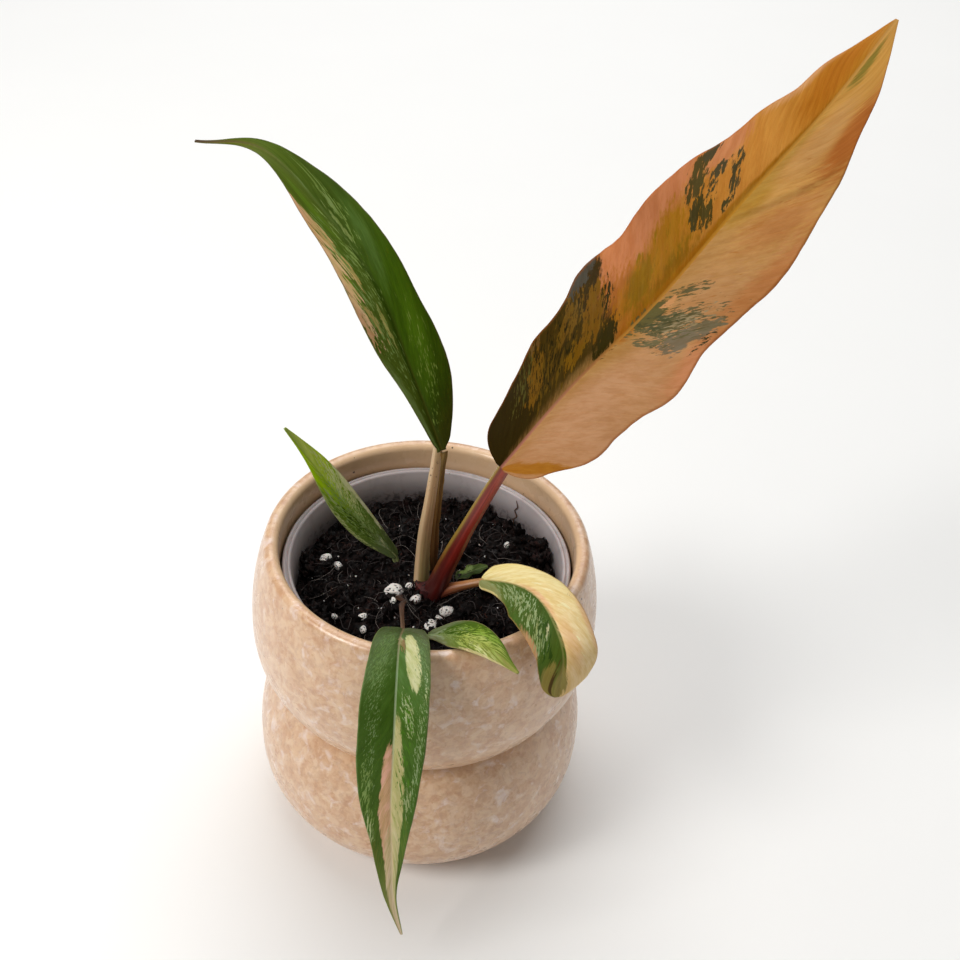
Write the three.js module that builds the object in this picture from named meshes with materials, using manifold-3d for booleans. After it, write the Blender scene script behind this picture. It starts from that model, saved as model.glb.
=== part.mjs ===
import * as THREE from 'three';
import Module from 'manifold-3d';
import { mergeVertices } from 'three/addons/utils/BufferGeometryUtils.js';

// A young marbled philodendron in a nursery pot, inside a double-bulb ceramic cover pot.
// Millimetres, +Z up. The origin is the middle of the cover pot's foot, on the table.
// -Y is the side that the long leaf hangs over.

const CLEAR = 0.3; // gap kept between pieces that touch
const SOIL_CLEAR = 0.45; // gap round the soil, whose many-sided wall stands turned against the pot's

// Cover pot: two bulbs with a crisp waist between them, a rounded lip and a straight throat
const POT_HEIGHT = 115;
const POT_WALL = 4.4;
const POT_FLOOR = 6;
const FOOT_RADIUS = 43;
const FLOOR_RADIUS = 42;
const LOWER_BULB = { radius: 58.4, level: 26.4, fullness: 2.4 };
const WAIST = { radius: 49.5, level: 58.6 };
const UPPER_BULB = { radius: 58, level: 81.6, fullness: 2.1 };
const LIP = { radius: 50.4, half: 2.4, start: 18, end: 180 };
const THROAT_LEVEL = 101;
const POT_SIDES = 44;
const LIP_STEPS = 6;
const OUTSIDE_STEPS = 4;
const FOOT_STEPS = 5;
const INSIDE_STEPS = 2;
const FLOOR_STEPS = 3;

// Nursery pot: thin tapered plastic with a rim of two low ridges and drain holes in its floor
const NURSERY = { wall: 1, floor: 1.2, baseRadius: 35, topRadius: 45, rimLevel: 106, rimDrop: 5 };
const RIM = { radius: 47.2, inner: 44.5, ridge: 0.6 };
const DRAIN = { count: 6, radius: 4, circle: 22, sides: 12 };
const NURSERY_SIDES = 40;

// Soil: fills the nursery pot, rough on top, with crumbs grown out of its surface
const SOIL = { level: 95, edgeDrop: 1.2, mound: 1.4, moundRadius: 14, moundCentre: [1, -5] };
// Each wave of the soil's top is its height, its turn per millimetre along x and y, and its phase
const SOIL_WAVES = [
  [0.45, 0.31, 0.27, 0.3], [0.45, 0.31, -0.27, 1.3], [0.6, 0.83, -0.61, 1.1], [0.4, 0.57, 1.03, 0],
];
const SOIL_RINGS = [1, 0.92, 0.8, 0.68, 0.56, 0.44, 0.32, 0.2, 0.1];
const SOIL_SIDES = 32;
const CRUMBS = {
  count: 24, smallest: 1.2, largest: 2.7, seed: 7, margin: 5, rise: 0.1,
  long: [1, 1.5], wide: [0.7, 1.1], tall: 0.8,
};

// Crown: the short stem that the big stalks grow from
const CROWN = {
  path: [[0, -3, 78], [0.5, -4, 89], [1.2, -5, 98.4]],
  radii: [4.6, 5.6, 4.4], sides: 14, steps: 6, groove: 0, grooveSide: [0, -1, 0],
};

// Leaf stalks: a path that goes on to the base of the blade it carries, a radius at each end
// and, where the stalk is channelled, a groove
const STALKS = {
  caramel_stalk: {
    path: [[2.6, -7.2, 95.5], [7.5, -8.6, 113], [14, -9.4, 132]], carries: 'caramel_blade',
    radii: [3.7, 2.2], sides: 12, steps: 12, groove: 0.18, grooveSide: [-0.6, -0.7, 0.4], colour: 0x8e2f26,
  },
  arching_stalk: {
    path: [[-1.7, -2.2, 95.5], [-1.3, -2.4, 115], [0.3, -2.8, 134]], carries: 'arching_blade',
    radii: [2.6, 1.7], sides: 10, steps: 10, groove: 0, grooveSide: [0, -1, 0], colour: 0x9b8a55,
  },
  curled_stalk: {
    path: [[2.5, -7.5, 95.6], [8.4, -9, 100.6], [13.4, -9.9, 103.8]], carries: 'curled_blade',
    radii: [1.8, 1.4], sides: 8, steps: 8, groove: 0, grooveSide: [0, 0, 1], colour: 0xa5713c,
  },
  front_stalk: {
    path: [[-7, -9, 84], [-7.2, -11, 96], [-6, -22, 106]], carries: 'front_blade',
    radii: [1.3, 1.1], sides: 8, steps: 10, groove: 0, grooveSide: [0, 0, 1], colour: 0x6d5138,
  },
  left_stalk: {
    path: [[-9.6, 7.6, 86], [-10.4, 7.2, 93]], carries: 'left_blade',
    radii: [1.4, 1.2], sides: 8, steps: 4, groove: 0, grooveSide: [0, 0, 1], colour: 0x7c8f4a,
  },
  right_stalk: {
    path: [[1.6, -22.5, 84], [2, -26.5, 95]], carries: 'right_blade',
    radii: [1.4, 1.1], sides: 8, steps: 6, groove: 0, grooveSide: [0, 0, 1], colour: 0x7c8f4a,
  },
};

// Blades. The spine runs from the stalk to the tip, and facing is the way the upper side looks.
// halves holds the widths left and right of the midrib at even steps from base to tip.
// fold lifts both halves off the midrib in degrees, and cup bends their edges up or down.
// Each of the waves is [height, waves along the blade, phase, phase added on the left].
const BLADES = {
  caramel_blade: {
    spine: [[21, -9, 152], [39, -2, 178], [59, 4, 203], [78, 15, 228], [98, 29, 250], [116, 47, 270]],
    facing: [[-0.45, -0.72, 0.53], [-0.4, -0.6, 0.69]],
    halves: [
      [10, 8.5], [11.6, 14.1], [14.2, 21], [17, 21.4], [17.7, 22.8], [22.3, 24.8], [22.2, 21.5],
      [20.8, 21.5], [20.5, 23.6], [19.6, 22.8], [16.4, 20], [14.5, 16.2], [10.4, 12.2], [8.8, 9.2],
      [4.9, 5.1], [0.5, 0.5],
    ],
    fold: [14, 8], cup: [-0.06, -0.1], base: 0.05, neck: 2.1,
    waves: [[1.6, 3.5, 0.4, 1.9], [0.7, 7.5, 2, 0.8]],
    thickness: 0.9, rib: 1.3, rows: 36, colour: 0xd08a45,
  },
  arching_blade: {
    spine: [
      [3, -3, 152], [-7, 4, 174], [-18, 14, 195], [-34, 25, 211], [-53.5, 34.6, 225.2], [-75, 41, 224.9],
    ],
    facing: [[0.3, -0.8, 0.3], [0.15, -0.55, 0.8]],
    halves: [
      [1.6, 2.4], [3.4, 7.8], [5.5, 11.2], [8.6, 11.3], [10, 9.6], [9.2, 9.6],
      [7.6, 9.5], [6.3, 8.6], [4, 5.2], [2.2, 2.3], [0.9, 0.7], [0.4, 0.4],
    ],
    fold: [20, 12], cup: [-0.12, -0.1], base: 0.03, neck: 1.6, waves: [[0.7, 2.5, 0.5, 1.2]],
    thickness: 0.9, rib: 0.9, rows: 26, colour: 0x3f6b2c,
  },
  left_blade: {
    spine: [[-11, 7, 98], [-23, 5, 114], [-35, 7, 130], [-47, 10, 146]],
    facing: [[0.3, -0.6, 0.7], [0.2, -0.6, 0.7]],
    halves: [
      [1.6, 1.6], [3.4, 2.9], [4.9, 4.2], [5.5, 5], [5.4, 5.2], [3.9, 5], [1.9, 4.3], [0.8, 2.5], [0.4, 0.4],
    ],
    fold: [20, 12], cup: [0.05, 0], base: 0.04, neck: 1, waves: [[0.3, 2, 0, 1]],
    thickness: 0.8, rib: 0.5, rows: 14, colour: 0x7fa04b,
  },
  front_blade: {
    spine: [
      [-4, -38, 111.2], [-4, -50, 118.3], [-3.4, -63, 114.5], [-3, -71, 101],
      [-3, -76, 79], [-2.2, -79, 58], [-1.4, -81, 37], [1.7, -82, 16],
    ],
    facing: [[0, -0.2, 1], [0, -0.5, 0.9], [0, -1, 0.4], [0, -1, 0.1], [0, -1, 0.06]],
    halves: [
      [5.4, 5.2], [7.5, 6.5], [9, 7.9], [9.6, 9], [9.7, 10], [9.4, 10.3], [8.6, 10.4], [7.2, 8.9],
      [5.1, 6.5], [3.2, 5], [1.5, 3.4], [0.6, 1.8], [0.4, 0.4],
    ],
    fold: [12, 10], cup: [-0.08, -0.1], base: 0.05, neck: 1, waves: [[0.7, 3, 1, 1.4]],
    thickness: 0.9, rib: 0.7, rows: 26, colour: 0x47683a,
  },
  right_blade: {
    spine: [[3, -35, 106], [12, -41.4, 113.8], [21, -49.6, 119.4], [30, -59, 119.6]],
    facing: [[0.1, -0.3, 1], [0.25, -0.3, 1]],
    halves: [
      [2, 2], [3.4, 2.8], [5, 4.2], [5.8, 5.4], [5.6, 5.9], [5, 5.4], [3.9, 4], [2.1, 2.2], [0.4, 0.4],
    ],
    fold: [14, 8], cup: [-0.05, -0.1], base: 0.06, neck: 1, waves: [[0.3, 2, 1, 1]],
    thickness: 0.8, rib: 0.5, rows: 14, colour: 0x86a83f,
  },
  curled_blade: {
    spine: [
      [18, -10, 107], [27, -17, 113], [34, -26, 118], [39, -37, 120], [43, -48, 116], [43, -52, 102.5],
    ],
    facing: [[0, -0.4, 1], [0.1, -0.45, 0.9], [0.35, -0.5, 0.8]],
    halves: [
      [4.5, 3.6], [6.5, 4.7], [8, 6.4], [8.8, 8.1], [9.6, 9.8], [10.4, 10.8], [11.1, 10.4], [11.7, 9.2],
      [12.2, 7.8], [12, 6.6], [9.2, 3.8],
    ],
    fold: [12, 4], cup: [-0.15, -0.35], base: 0.05, neck: 1.2, waves: [[0.5, 2, 0, 1.5]],
    thickness: 0.9, rib: 0.6, rows: 20, colour: 0xe6cf8f,
  },
  dried_sheath: {
    spine: [[2.6, 2, 92.5], [2.3, 1.2, 110], [3, 0.4, 130], [4.9, -1.2, 149]],
    facing: [[0.5, -0.8, 0.2], [0.5, -0.8, 0.2]],
    halves: [[1.2, 1.2], [1.8, 1.3], [2.1, 1.6], [2.1, 1.3], [1.2, 0.8]],
    fold: [-14, -14], cup: [-0.1, -0.1], base: 0.02, neck: 1, waves: [[0.2, 4, 0, 1]],
    thickness: 0.8, rib: 0, rows: 10, colour: 0x7a5230,
  },
  leaf_scrap: {
    spine: [[9.6, -0.4, 97.2], [14.6, 2.6, 98], [20, 6, 97.8]],
    facing: [[0, -0.2, 1], [0.1, -0.2, 1]],
    halves: [[0.8, 0.6], [2, 1.4], [1.5, 2.1], [2.5, 1.5], [1.7, 2], [1.9, 0.9], [0.5, 0.5]],
    fold: [8, 0], cup: [0, 0], base: 0.03, neck: 0.5, waves: [[0.4, 1.5, 0, 1]],
    thickness: 0.8, rib: 0, rows: 8, colour: 0x5f7d3a,
  },
};

// All blades: the tip's half width, how the rows crowd towards the base, how the rib fades to the tip,
// and the steps over which a surface's slope is taken
const TIP_HALF = 0.4;
const ROW_EASE = 1.15;
const RIB_TAPER = 0.7;
const CURVE_STEP = 0.001;
const SURFACE_STEP = 0.004;

// Lanes across a blade, as shares of each half: two close lanes carry the midrib's ridge
const LANES = [-1, -0.78, -0.54, -0.3, -0.08, 0, 0.08, 0.3, 0.54, 0.78, 1];
const NARROW_LANES = [-1, -0.55, -0.12, 0, 0.12, 0.55, 1];
const NARROW_BLADES = ['left_blade', 'right_blade', 'dried_sheath', 'leaf_scrap'];

// Perlite: x, y and radius of each pale grain that shows at the surface
const GRAINS = [
  [-10.2, -8, 2.8], [-5.3, -6, 1.4], [-27.9, -20, 1], [-2.6, -10.8, 1.7], [-9.8, -12.8, 1.2],
  [7.8, -15, 2], [3.2, -22, 2.2], [5.2, -18.4, 1.3], [-34.9, 6, 2], [-30.5, 4.2, 1.5],
  [-18.7, -20.1, 1.4], [-17.8, -26, 1.2], [-40, -1, 0.8], [26.4, 21, 1.2], [2.6, 19.5, 1.2],
];
// A grain's middle stands above the soil by a share of its radius, and larger grains are rounder
const GRAIN = { rise: 0.3, stretch: [1.12, 0.95, 0.86], turn: 1.3, roundFrom: 1.6 };

const FINISHES = {
  pot: { colour: 0xe7cba5, roughness: 0.25 },
  nursery: { colour: 0xe4e0e2, roughness: 0.5 },
  crown: { colour: 0x7d3038, roughness: 0.6 },
  stalk: { roughness: 0.5 },
  blade: { roughness: 0.45 },
  grain: { colour: 0xeeece6, roughness: 0.9 },
  soil: { colour: 0x2a201b, roughness: 1 },
};

const wasm = await Module();
wasm.setup();

// Shared vertices are merged and triangles that closed up at a pole are dropped.
function tidyMesh(geometry) {
  const bare = geometry.clone();
  bare.deleteAttribute('normal');
  bare.deleteAttribute('uv');
  const merged = mergeVertices(bare, 1e-4);
  const index = merged.getIndex().array;
  const kept = [];
  for (let i = 0; i < index.length; i += 3) {
    const [a, b, c] = [index[i], index[i + 1], index[i + 2]];
    if (a !== b && b !== c && c !== a) {
      kept.push(a, b, c);
    }
  }
  merged.setIndex(kept);
  return merged;
}

function toSolid(geometry) {
  const mesh = tidyMesh(geometry);
  return new wasm.Manifold(new wasm.Mesh({
    numProp: 3,
    vertProperties: new Float32Array(mesh.getAttribute('position').array),
    triVerts: new Uint32Array(mesh.getIndex().array),
  }));
}

function toGeometry(solid) {
  const mesh = solid.getMesh();
  const geometry = new THREE.BufferGeometry();
  geometry.setAttribute('position', new THREE.BufferAttribute(new Float32Array(mesh.vertProperties), 3));
  geometry.setIndex(new THREE.BufferAttribute(new Uint32Array(mesh.triVerts), 1));
  geometry.computeVertexNormals();
  return geometry;
}

// A cut can leave loose scraps beside the piece, so only the largest body is kept.
function largestBody(solid) {
  const bodies = solid.decompose();
  return bodies.reduce((best, body) => (body.volume() > best.volume() ? body : best));
}

function vector(list) {
  return new THREE.Vector3(...list);
}

function curveThrough(points) {
  return new THREE.CatmullRomCurve3(points.map(vector), false, 'catmullrom', 0.5);
}

// The direction in which a curve runs at share t of its length.
function directionAt(curve, t) {
  const before = curve.getPoint(Math.max(t - CURVE_STEP, 0));
  return curve.getPoint(Math.min(t + CURVE_STEP, 1)).sub(before).normalize();
}

function mix(from, to, share) {
  return from + (to - from) * share;
}

function seededRandom(seed) {
  let state = seed;
  return () => {
    state = (Math.imul(state, 1664525) + 1013904223) >>> 0;
    return state / 4294967296;
  };
}

// Turned shapes: the profile is a list of [radius, height], and the turning axis becomes +Z.
function turned(profile, sides) {
  const points = profile.map(([radius, height]) => new THREE.Vector2(radius, height));
  return new THREE.LatheGeometry(points, sides).rotateX(Math.PI / 2);
}

// Half a bulb, from its widest level to the level where it ends.
function halfBulb(bulb, end, inset, steps) {
  const points = [];
  const wide = bulb.radius - inset;
  for (let i = 0; i <= steps; i += 1) {
    const s = i / steps;
    points.push([wide - (wide - end.radius) * s ** bulb.fullness, mix(bulb.level, end.level, s)]);
  }
  return points;
}

function lipArc(steps) {
  const points = [];
  for (let i = 0; i <= steps; i += 1) {
    const angle = THREE.MathUtils.degToRad(mix(LIP.start, LIP.end, i / steps));
    const level = POT_HEIGHT - LIP.half;
    points.push([LIP.radius + LIP.half * Math.cos(angle), level + LIP.half * Math.sin(angle)]);
  }
  return points;
}

function ceramicPot() {
  const lip = lipArc(LIP_STEPS);
  const foot = { radius: FOOT_RADIUS, level: 0 };
  const innerFloor = { radius: FLOOR_RADIUS, level: POT_FLOOR };
  const shoulder = { radius: lip[0][0], level: lip[0][1] };
  const throat = { radius: lip[LIP_STEPS][0], level: THROAT_LEVEL };
  const innerWaist = { radius: WAIST.radius - POT_WALL, level: WAIST.level };
  const profile = [
    [0, 0],
    ...halfBulb(LOWER_BULB, foot, 0, FOOT_STEPS).reverse(),
    ...halfBulb(LOWER_BULB, WAIST, 0, OUTSIDE_STEPS).slice(1),
    ...halfBulb(UPPER_BULB, WAIST, 0, OUTSIDE_STEPS).reverse().slice(1),
    ...halfBulb(UPPER_BULB, shoulder, 0, OUTSIDE_STEPS).slice(1),
    ...lip.slice(1),
    ...halfBulb(UPPER_BULB, throat, POT_WALL, INSIDE_STEPS).reverse(),
    ...halfBulb(UPPER_BULB, innerWaist, POT_WALL, INSIDE_STEPS).slice(1),
    ...halfBulb(LOWER_BULB, innerWaist, POT_WALL, INSIDE_STEPS).reverse().slice(1),
    ...halfBulb(LOWER_BULB, innerFloor, POT_WALL, FLOOR_STEPS).slice(1),
    [0, POT_FLOOR],
  ];
  return toSolid(turned(profile, POT_SIDES));
}

const nurseryBase = POT_FLOOR + CLEAR;
const rimFoot = NURSERY.rimLevel - NURSERY.rimDrop;

function nurseryPot() {
  const top = NURSERY.rimLevel;
  const groove = top - RIM.ridge;
  const ridgeWidth = (RIM.radius - RIM.inner) / 6;
  const profile = [
    [0, nurseryBase],
    [NURSERY.baseRadius - 1, nurseryBase],
    [NURSERY.baseRadius, nurseryBase + 1],
    [NURSERY.topRadius, rimFoot],
    [RIM.radius, rimFoot],
    [RIM.radius, groove],
    [RIM.radius - ridgeWidth, top],
    [RIM.radius - 2 * ridgeWidth, top],
    [RIM.radius - 3 * ridgeWidth, groove],
    [RIM.inner + 2 * ridgeWidth, top],
    [RIM.inner + ridgeWidth, top],
    [RIM.inner, groove],
    [NURSERY.topRadius - NURSERY.wall, rimFoot],
    [NURSERY.baseRadius - NURSERY.wall, nurseryBase + NURSERY.floor],
    [0, nurseryBase + NURSERY.floor],
  ];
  let pot = toSolid(turned(profile, NURSERY_SIDES));
  for (let i = 0; i < DRAIN.count; i += 1) {
    const angle = (2 * Math.PI * i) / DRAIN.count;
    const plug = new THREE.CylinderGeometry(DRAIN.radius, DRAIN.radius, 3 * NURSERY.floor, DRAIN.sides);
    const x = DRAIN.circle * Math.cos(angle);
    const y = DRAIN.circle * Math.sin(angle);
    plug.rotateX(Math.PI / 2);
    plug.translate(x, y, nurseryBase + NURSERY.floor / 2);
    pot = pot.subtract(toSolid(plug));
  }
  return pot;
}

function nurseryInnerRadius(level) {
  const low = nurseryBase + NURSERY.floor;
  const share = (level - low) / (rimFoot - low);
  return mix(NURSERY.baseRadius, NURSERY.topRadius, share) - NURSERY.wall;
}

// The soil's top: rough all over, a little higher round the crown and lower at the edge.
function soilHeight(x, y) {
  const [moundX, moundY] = SOIL.moundCentre;
  const reach = Math.hypot(x, y) / nurseryInnerRadius(SOIL.level);
  const fromMound = Math.hypot(x - moundX, y - moundY) / SOIL.moundRadius;
  let height = SOIL.level + SOIL.mound * Math.exp(-(fromMound ** 2)) - SOIL.edgeDrop * reach ** 6;
  SOIL_WAVES.forEach(([rise, turnX, turnY, phase]) => {
    height += rise * Math.sin(turnX * x + turnY * y + phase);
  });
  return height;
}

function soilBlock() {
  const floorLevel = nurseryBase + NURSERY.floor + CLEAR;
  const edge = nurseryInnerRadius(SOIL.level) - SOIL_CLEAR;
  const profile = [
    [0, floorLevel],
    [nurseryInnerRadius(floorLevel) - SOIL_CLEAR, floorLevel],
    ...SOIL_RINGS.map((share) => [share * edge, SOIL.level]),
    [0, SOIL.level],
  ];
  const block = turned(profile, SOIL_SIDES);
  const position = block.getAttribute('position');
  for (let i = 0; i < position.count; i += 1) {
    if (position.getZ(i) > floorLevel + CLEAR) {
      const x = position.getX(i);
      const y = position.getY(i);
      const rim = Math.hypot(x, y) > 0.98 * edge;
      position.setZ(i, rim ? SOIL.level - SOIL.edgeDrop : soilHeight(x, y));
    }
  }
  return toSolid(block);
}

// Crumbs of bark and peat stand out of the soil, sunk well in.
function soilCrumbs() {
  const random = seededRandom(CRUMBS.seed);
  const crumbs = [];
  const reach = nurseryInnerRadius(SOIL.level) - CRUMBS.margin;
  for (let i = 0; i < CRUMBS.count; i += 1) {
    const angle = 2 * Math.PI * random();
    const radius = reach * Math.sqrt(random());
    const size = mix(CRUMBS.smallest, CRUMBS.largest, random());
    const crumb = new THREE.OctahedronGeometry(size, 0);
    crumb.scale(mix(...CRUMBS.long, random()), mix(...CRUMBS.wide, random()), CRUMBS.tall);
    crumb.rotateX(random() - 0.5);
    crumb.rotateZ(2 * Math.PI * random());
    const x = radius * Math.cos(angle);
    const y = radius * Math.sin(angle);
    crumb.translate(x, y, soilHeight(x, y) + CRUMBS.rise * size);
    crumbs.push(toSolid(crumb));
  }
  return crumbs;
}

// A stalk's last point: its end is square to the stalk, so it stops short of the blade's base
// by the clearance and by as much as its tilted edge stands forward.
function seatOf(stalk) {
  const [base, next] = BLADES[stalk.carries].spine.map(vector);
  const ahead = next.sub(base).normalize();
  const along = base.clone().sub(vector(stalk.path.at(-1))).normalize();
  const lean = Math.sqrt(1 - along.dot(ahead) ** 2);
  return base.addScaledVector(ahead, -CLEAR - stalk.radii.at(-1) * lean).toArray();
}

// A round stalk along its path. grow fattens and lengthens it, for the hole that it stands in.
function stalkSolid(stalk, grow = 0) {
  const path = curveThrough(stalk.carries ? [...stalk.path, seatOf(stalk)] : stalk.path);
  const lastRadius = stalk.radii.length - 1;
  const side = vector(stalk.grooveSide);
  const shape = new THREE.CylinderGeometry(1, 1, 1, stalk.sides, stalk.steps);
  const position = shape.getAttribute('position');
  for (let i = 0; i < position.count; i += 1) {
    const t = position.getY(i) + 0.5;
    const tangent = directionAt(path, t);
    const out = side.clone().addScaledVector(tangent, -side.dot(tangent)).normalize();
    const across = new THREE.Vector3().crossVectors(tangent, out);
    const place = Math.min(t * lastRadius, lastRadius - 1e-9);
    const first = Math.floor(place);
    const radius = mix(stalk.radii[first], stalk.radii[first + 1], place - first) + grow;
    const facing = Math.max(position.getZ(i), 0);
    const channel = 1 - stalk.groove * facing ** 4;
    const point = path.getPoint(t);
    point.addScaledVector(across, radius * position.getX(i));
    point.addScaledVector(out, radius * channel * position.getZ(i));
    point.addScaledVector(tangent, grow * (2 * t - 1));
    position.setXYZ(i, point.x, point.y, point.z);
  }
  return toSolid(shape);
}

// A blade's middle surface: u runs from base to tip, v from the left edge (-1) to the right edge (1).
function bladeSurface(blade) {
  const spine = curveThrough(blade.spine);
  const facing = curveThrough(blade.facing);
  const halves = curveThrough(blade.halves.map(([left, right]) => [left, right, 0]));
  return (u, v) => {
    const tangent = directionAt(spine, u);
    const side = new THREE.Vector3().crossVectors(tangent, facing.getPoint(u)).normalize();
    const up = new THREE.Vector3().crossVectors(side, tangent);
    const width = halves.getPoint(u);
    const rounding = Math.sqrt(1 - (1 - Math.min(u / blade.base, 1)) ** 2);
    const least = mix(blade.neck, TIP_HALF, Math.min(u / blade.base, 1));
    const half = Math.max((v < 0 ? width.x : width.y) * rounding, least);
    const reach = Math.abs(v);
    const fold = THREE.MathUtils.degToRad(mix(...blade.fold, u));
    let lift = reach * half * Math.sin(fold) + mix(...blade.cup, u) * half * reach * reach;
    blade.waves.forEach(([height, count, phase, leftPhase]) => {
      const turn = 2 * Math.PI * count * u + phase + (v < 0 ? leftPhase : 0);
      lift += height * Math.sin(turn) * reach * reach * Math.sin(Math.PI * u);
    });
    return spine.getPoint(u).addScaledVector(side, v * half * Math.cos(fold)).addScaledVector(up, lift);
  };
}

// A closed blade: two faces split into triangles alike, joined round the edge.
function bladeSolid(blade, lanes, grow = 0) {
  const surface = bladeSurface(blade);
  const columns = lanes.length;
  const top = [];
  const bottom = [];
  for (let r = 0; r <= blade.rows; r += 1) {
    const u = (r / blade.rows) ** ROW_EASE;
    lanes.forEach((v) => {
      const nearer = surface(Math.max(u - SURFACE_STEP, 0), v);
      const along = surface(Math.min(u + SURFACE_STEP, 1), v).sub(nearer);
      const leftward = surface(u, Math.max(v - SURFACE_STEP, -1));
      const across = surface(u, Math.min(v + SURFACE_STEP, 1)).sub(leftward);
      const normal = new THREE.Vector3().crossVectors(across, along).normalize();
      const outward = across.normalize().multiplyScalar(v * grow);
      const middle = surface(u, v).add(outward);
      const ridge = v === 0 ? blade.rib * (1 - RIB_TAPER * u) : 0;
      top.push(middle.clone().addScaledVector(normal, blade.thickness / 2 + grow));
      bottom.push(middle.clone().addScaledVector(normal, -blade.thickness / 2 - ridge - grow));
    });
  }
  const count = top.length;
  const faces = [];
  for (let r = 0; r < blade.rows; r += 1) {
    for (let l = 0; l < columns - 1; l += 1) {
      const a = r * columns + l;
      const [b, c, d] = [a + 1, a + columns + 1, a + columns];
      const pair = lanes[l] < 0 ? [[a, b, d], [b, c, d]] : [[a, b, c], [a, c, d]];
      pair.forEach(([p, q, s]) => {
        faces.push(p, q, s);
        faces.push(count + p, count + s, count + q);
      });
    }
  }
  const rim = [];
  for (let l = 0; l < columns - 1; l += 1) {
    rim.push(l);
  }
  for (let r = 0; r < blade.rows; r += 1) {
    rim.push(r * columns + columns - 1);
  }
  for (let l = columns - 1; l > 0; l -= 1) {
    rim.push(blade.rows * columns + l);
  }
  for (let r = blade.rows; r > 0; r -= 1) {
    rim.push(r * columns);
  }
  rim.forEach((p, i) => {
    const q = rim[(i + 1) % rim.length];
    faces.push(count + p, count + q, q);
    faces.push(count + p, q, p);
  });
  const geometry = new THREE.BufferGeometry();
  const points = [...top, ...bottom].flatMap((point) => point.toArray());
  geometry.setAttribute('position', new THREE.BufferAttribute(new Float32Array(points), 3));
  geometry.setIndex(faces);
  return toSolid(geometry);
}

// A pale grain, a little longer one way. grow fattens it, for the hollow that it sits in.
function grainSolid([x, y, radius], number, grow = 0) {
  const grain = new THREE.IcosahedronGeometry(radius + grow, radius > GRAIN.roundFrom ? 1 : 0);
  grain.scale(...GRAIN.stretch);
  grain.rotateZ(number * GRAIN.turn);
  grain.translate(x, y, soilHeight(x, y) + GRAIN.rise * radius);
  return toSolid(grain);
}

const part = new THREE.Group();

function addPiece(name, solid, { colour, roughness }) {
  const material = new THREE.MeshStandardMaterial({ color: colour, roughness, metalness: 0 });
  const mesh = new THREE.Mesh(toGeometry(solid), material);
  mesh.name = name;
  part.add(mesh);
}

function lanesOf(name) {
  return NARROW_BLADES.includes(name) ? NARROW_LANES : LANES;
}

addPiece('ceramic_pot', ceramicPot(), FINISHES.pot);
addPiece('nursery_pot', nurseryPot(), FINISHES.nursery);

// Stalks grow out of the crown, and each is cut clear of the ones made before it.
const heldByCrown = ['caramel_stalk', 'arching_stalk', 'curled_stalk'];
const soilHoles = [stalkSolid(CROWN, CLEAR)];
const neighbours = [stalkSolid(CROWN, CLEAR)];
addPiece('crown', stalkSolid(CROWN), FINISHES.crown);
Object.entries(STALKS).forEach(([name, stalk]) => {
  let solid = stalkSolid(stalk);
  if (heldByCrown.includes(name)) {
    neighbours.forEach((neighbour) => {
      solid = solid.subtract(neighbour);
    });
    neighbours.push(stalkSolid(stalk, CLEAR));
  }
  soilHoles.push(stalkSolid(stalk, CLEAR));
  addPiece(name, largestBody(solid), { ...FINISHES.stalk, colour: stalk.colour });
});

Object.entries(BLADES).forEach(([name, blade]) => {
  let solid = bladeSolid(blade, lanesOf(name));
  if (name === 'dried_sheath') {
    neighbours.forEach((neighbour) => {
      solid = solid.subtract(neighbour);
    });
  }
  addPiece(name, largestBody(solid), { ...FINISHES.blade, colour: blade.colour });
});
soilHoles.push(bladeSolid(BLADES.dried_sheath, NARROW_LANES, CLEAR));
soilHoles.push(bladeSolid(BLADES.leaf_scrap, NARROW_LANES, CLEAR));

GRAINS.forEach((grain, i) => {
  addPiece(`perlite_${i + 1}`, grainSolid(grain, i), FINISHES.grain);
  soilHoles.push(grainSolid(grain, i, CLEAR));
});

let soil = soilBlock();
soilCrumbs().forEach((crumb) => {
  soil = soil.add(crumb);
});
soilHoles.forEach((hole) => {
  soil = soil.subtract(hole);
});
addPiece('soil', largestBody(soil), FINISHES.soil);

export default part;
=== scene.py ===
# %% [markdown]
# A potted marbled philodendron, dressed.
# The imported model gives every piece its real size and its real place. This notebook keeps those
# places and makes each piece again with its true skin: mottled glaze, thin milky plastic, damp
# crumbly soil, fleshy stalks and long marbled leaves. Lengths are written in millimetres, as a
# potter or a grower would measure them, and are turned into metres in one place.

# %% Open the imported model
import math

import bpy
import numpy as np
from mathutils import Matrix, Vector


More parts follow.
